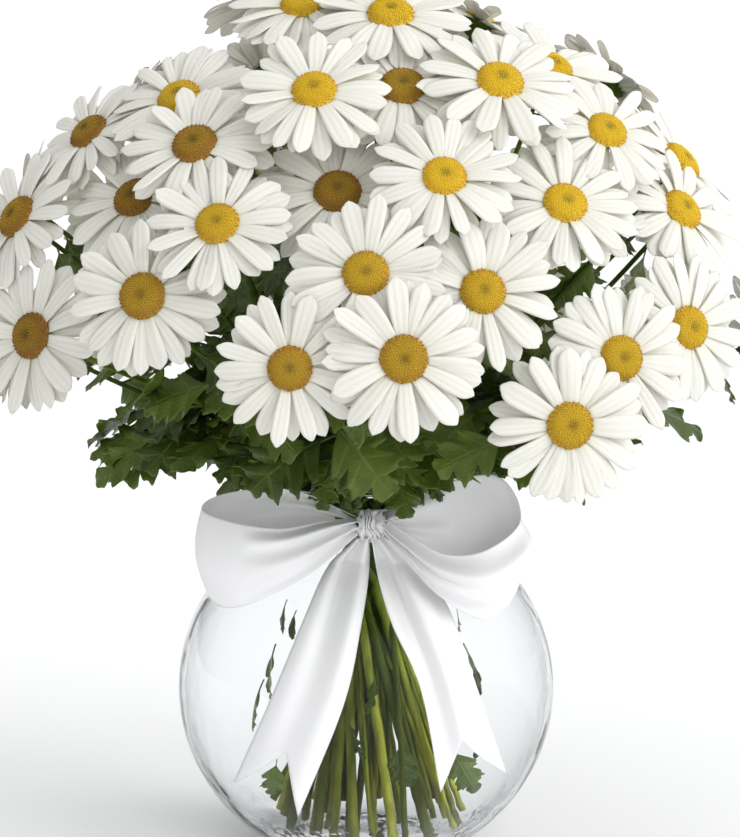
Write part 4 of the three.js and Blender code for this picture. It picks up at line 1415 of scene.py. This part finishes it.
foot = [(0, 0.9), (24, 0.6), (36, 0.0), (39, 0.0), (42, 0.6)]
bowl_profile = [*foot, *outer[1:-1], *neck, *inner_wall[1:], (0, FLOOR_Z - 0.6)]
bowl = piece("bowl", turned_mesh("bowl", bowl_profile), clear_glass)
stand_for(bowl, ["glass_bowl"])

CLEARANCE = 0.35
water_side = belly_arc(FLOOR_Z + CLEARANCE, WATER_LEVEL - 1.6, 36, WALL + CLEARANCE)
rim = water_side[-1][0]
surface = [(rim - 1.0, WATER_LEVEL - 0.2)] + [(r, WATER_LEVEL) for r in (rim - 2.6, rim - 8, rim / 2)]
water_profile = [(0, FLOOR_Z + CLEARANCE), *water_side, *surface, (0, WATER_LEVEL)]
water = piece("water_body", turned_mesh("water_body", water_profile), still_water)
stand_for(water, ["water"])
for clear in (bowl, water):
    clear.visible_shadow = False

# %% [markdown]
# ## The satin bow
#
# One length of 38 mm ribbon makes the band, the loops, the knot and the tails. Satin keeps its width: where
# it is squeezed at the knot, the spare width stands up in folds, which open out along the ribbon. So each
# length is laid between its two edge lines, and at each step the folds are made as deep as the missing
# width asks for.

# %% Ribbon helpers
RIBBON_WIDTH, RIBBON_THICKNESS = 38.0, 0.35
BAND_RADIUS, BAND_THICKNESS, BAND_WIDTH = NECK_RADIUS + 0.3, 1.6, 13.0
KNOT_HALF, KNOT_GAP = np.array([7.0, 6.0, 8.0]), 0.3
KNOT = np.array([2.0, -(BAND_RADIUS + BAND_THICKNESS + KNOT_GAP + KNOT_HALF[1]), 166.0])


def folds(width, across, waves, phase, slack=0.95):
    """How far the cloth stands off at each share across, so that it keeps its full width."""
    depth = slack * np.sqrt(np.clip(RIBBON_WIDTH**2 - width**2, 0, None)) / (4 * waves)
    return depth * np.sin(2 * math.pi * waves * across + phase)


def cloth_sheet(name, grid):
    """A closed sheet from a grid of points in millimetres: rows along the ribbon, columns across it."""
    rows, columns = grid.shape[:2]
    along = np.gradient(grid, axis=0)
    across = np.gradient(grid, axis=1)
    normal = np.cross(across, along)
    normal /= np.maximum(np.linalg.norm(normal, axis=2, keepdims=True), 1e-9)
    upper = (grid + normal * RIBBON_THICKNESS / 2).reshape(-1, 3) * MM
    lower = (grid - normal * RIBBON_THICKNESS / 2).reshape(-1, 3) * MM
    points, faces = closed_sheet(lower, upper, rows, columns)
    lengths = np.linalg.norm(np.diff(grid[:, columns // 2], axis=0), axis=1)
    far = np.concatenate([[0], np.cumsum(lengths)])
    s = np.linspace(0, RIBBON_WIDTH, columns)
    cloth = np.stack([np.tile(s, rows), np.repeat(far, columns), np.zeros(rows * columns)], 1)
    values = {"cloth": ("FLOAT_VECTOR", "vector", np.tile(cloth, (2, 1)))}
    made = piece(name, mesh_of(name, points, faces, values), white_satin)
    area = 0.5 * sum(p.area for p in made.data.polygons)
    return made, far[-1] * MM, area


def told(name, length, area):
    print(f"{name}: {length * 1000:.0f} mm long, {area * 1e4:.1f} cm2")


# %% [markdown]
# A loop leaves the knot, runs out, turns back and comes in behind. Its two edges are given from the knot's
# side as (outwards, towards the back, up), the way a maker would pinch and pull them into place.

# %% Bow loops
LOOP_LEFT = {
    "lower": [
        (-0.4, -2, -3),
        (11, -9, -12),
        (30, -17, -24),
        (56, -15, -35),
        (68, -4, -30),
        (58, 7, -22),
        (30, 8, -12),
        (-0.9, 3, -2),
    ],
    "upper": [
        (-0.4, -2, 4),
        (14, -8, 4),
        (34, -15, 2),
        (54, -15, 5),
        (70, -4, 9),
        (60, 7, 14),
        (30, 8, 16),
        (-0.9, 3, 4),
    ],
}
LOOP_RIGHT = {
    "lower": [
        (-0.4, -2, -3),
        (9, -9, -14),
        (26, -17, -30),
        (47, -16, -40),
        (62, -5, -26),
        (53, 6, -18),
        (28, 8, -18),
        (-0.9, 3, -2),
    ],
    "upper": [
        (-0.4, -2, 4),
        (10, -8, -2),
        (27, -15, -10),
        (46, -15, -8),
        (62, -4, 4),
        (52, 7, 22),
        (26, 8, 18),
        (-0.9, 3, 4),
    ],
}
LOOP_WAVES, LOOP_SLACK, LOOP_BELLY = 2.5, 0.66, 4.5


def ribbon_loop(name, side, edges, phase):
    steps, columns = 96, 33
    lines = []
    for key in ("lower", "upper"):
        place = [(KNOT[0] + side * (KNOT_HALF[0] + x), KNOT[1] + y, KNOT[2] + z) for x, y, z in edges[key]]
        lines.append(smooth_line(place, steps))
    low, high = lines if side < 0 else lines[::-1]
    s = np.linspace(0, 1, columns)
    grid = low[:, None] * (1 - s)[None, :, None] + high[:, None] * s[None, :, None]
    width = np.linalg.norm(high - low, axis=1)
    along = np.gradient((low + high) / 2, axis=0)
    out = np.cross(high - low, along)
    out /= np.linalg.norm(out, axis=1, keepdims=True)
    t = np.linspace(0, 1, steps + 1)
    belly = LOOP_BELLY * np.sin(math.pi * t)[:, None] * np.sin(math.pi * s)[None, :]
    uneven = s[None, :] + 0.06 * np.sin(5 * t)[:, None] + 0.05 * np.sin(7 * s + phase)[None, :]
    pleats = folds(width[:, None], uneven, LOOP_WAVES, phase, LOOP_SLACK)
    return cloth_sheet(name, grid + out[:, None] * (belly + pleats)[:, :, None])


for name, node, side, edges, phase in (
    ("bow_loop_left_satin", "bow_loop_left", -1, LOOP_LEFT, 0.6),
    ("bow_loop_right_satin", "bow_loop_right", 1, LOOP_RIGHT, 2.2),
):
    made, length, area = ribbon_loop(name, side, edges, phase)
    told(name, length, area)
    stand_for(made, [node])

# %% [markdown]
# The tails hang from under the knot and lie down over the bowl's belly. Their edges are given as seen from
# the front, and the depth follows from the bowl's own curve. The free ends have a fishtail cut.

# %% Ribbon tails
TAIL_LEFT = {
    "left": [(-4, 161.5), (-18, 147), (-27, 130), (-40, 100), (-61, 50)],
    "right": [(1.5, 161.5), (1.5, 147), (-2, 126), (-10, 92), (-31, 38)],
}
TAIL_RIGHT = {
    "left": [(2.7, 161.5), (5.5, 145), (12, 126), (25, 98), (34, 50)],
    "right": [(8, 161.5), (24, 147), (38, 130), (50, 98), (65, 52)],
}
NOTCH, OFF_BOWL = 14.0, 2.4
TAIL_WAVES, TAIL_SWAY, TAIL_BELLY = 1.5, 0.8, 2.4


def belly_radius(z):
    z = np.maximum(z, BELLY_Z)
    return BELLY_RADIUS * np.sqrt(np.clip(1 - ((z - BELLY_Z) / BELLY_HALF) ** 2, 0, 1))


def ribbon_tail(name, edges, phase):
    steps, columns = 80, 25
    left, right = (smooth_line(edges[k], steps * 3) for k in ("left", "right"))
    grid = np.zeros((steps + 1, columns, 3))
    length = np.linalg.norm(np.diff((left + right) / 2, axis=0), axis=1).sum()
    for c, share in enumerate(np.linspace(0, 1, columns)):
        # Each column ends where the fishtail's cut crosses it.
        cut = 1 - NOTCH / length * (1 - abs(2 * share - 1))
        at = np.linspace(0, cut, steps + 1) * (len(left) - 1)
        i = np.minimum(at.astype(int), len(left) - 2)
        f = (at - i)[:, None]
        a = left[i] * (1 - f) + left[i + 1] * f
        b = right[i] * (1 - f) + right[i + 1] * f
        flat = a * (1 - share) + b * share
        # The cloth hangs straight down until it meets the belly, and then lies on it.
        hang = np.maximum(belly_radius(flat[:, 1]) + OFF_BOWL, -KNOT[1])
        t = at / (len(left) - 1)
        pleats = folds(np.linalg.norm(b - a, axis=1), share, TAIL_WAVES, phase) * (1 - 0.6 * t)
        lift = pleats + TAIL_BELLY * math.sin(math.pi * share) * np.sin(math.pi * t / 2)
        lift = lift + TAIL_SWAY * np.sin(2.4 * math.pi * t + 2 * share) * t
        radius = hang + np.maximum(lift, -1.2) + 1.0
        grid[:, c, 0] = flat[:, 0]
        grid[:, c, 1] = -np.sqrt(np.maximum(radius**2 - flat[:, 0] ** 2, 1))
        grid[:, c, 2] = flat[:, 1]
    return cloth_sheet(name, grid)


for name, edges, node, phase in (
    ("tail_left_satin", TAIL_LEFT, "ribbon_tail_left", 0.4),
    ("tail_right_satin", TAIL_RIGHT, "ribbon_tail_right", 2.6),
):
    made, length, area = ribbon_tail(name, edges, phase)
    told(name, length, area)
    stand_for(made, [node])

# %% [markdown]
# The band and the knot are the same ribbon gathered to a narrow strap. The band runs round the neck. The
# knot is a short length wrapped round the roots of the loops, with its folds running the way it is pulled.

# %% Band and knot
BAND_GATHERS, KNOT_GATHERS = 8, 6


def gathered_ring(name, point_at, steps, columns, waves, strap, wobble):
    """A closed ring of ribbon, gathered across to the strap's width."""
    s = np.linspace(0, 1, columns)
    lift = folds(strap, s + 0.05 * np.sin(9 * s + 1.7), waves, 0.0)
    at_edges = np.sin(np.pi * np.clip(s * 1.1 + 0.02, 0, 1)) ** 0.2
    grid = np.zeros((steps + 1, columns, 3))
    for r, angle in enumerate(np.linspace(0, 2 * math.pi, steps + 1)):
        drift = wobble * math.sin(2 * angle) + wobble * 0.6 * math.sin(5 * angle + 1)
        wave = lift * (0.9 + 0.25 * np.sin(3 * angle + 6 * s)) * at_edges
        for c in range(columns):
            grid[r, c] = point_at(angle, (s[c] - 0.5) * strap + drift * math.cos(5 * s[c]), wave[c])
    return cloth_sheet(name, grid)


def band_point(angle, up, out):
    radius = NECK_RADIUS + 1.5 + out
    return radius * math.sin(angle), radius * math.cos(angle), KNOT[2] + up


def knot_point(angle, aside, out):
    swell = 1 - 0.32 * (aside / KNOT_HALF[0]) ** 2 + 0.1 * math.sin(3 * angle + 1 + 0.2 * aside)
    out *= 1.15 + 0.45 * math.sin(2 * angle + 0.6 * aside)
    y = KNOT[1] - (KNOT_HALF[1] * swell + out - 1.0) * math.cos(angle)
    z = KNOT[2] + (KNOT_HALF[2] * swell + out - 1.6) * math.sin(angle)
    return KNOT[0] + aside, y, z


made, length, area = gathered_ring("neck_band_satin", band_point, 180, 73, BAND_GATHERS, BAND_WIDTH, 0.35)
told(made.name, length, area)
stand_for(made, ["ribbon_band"])

strap = 2 * KNOT_HALF[0] - 1.0
made, length, area = gathered_ring("bow_knot_satin", knot_point, 72, 81, KNOT_GATHERS, strap, 1.5)
told(made.name, length, area)
stand_for(made, ["bow_knot"])
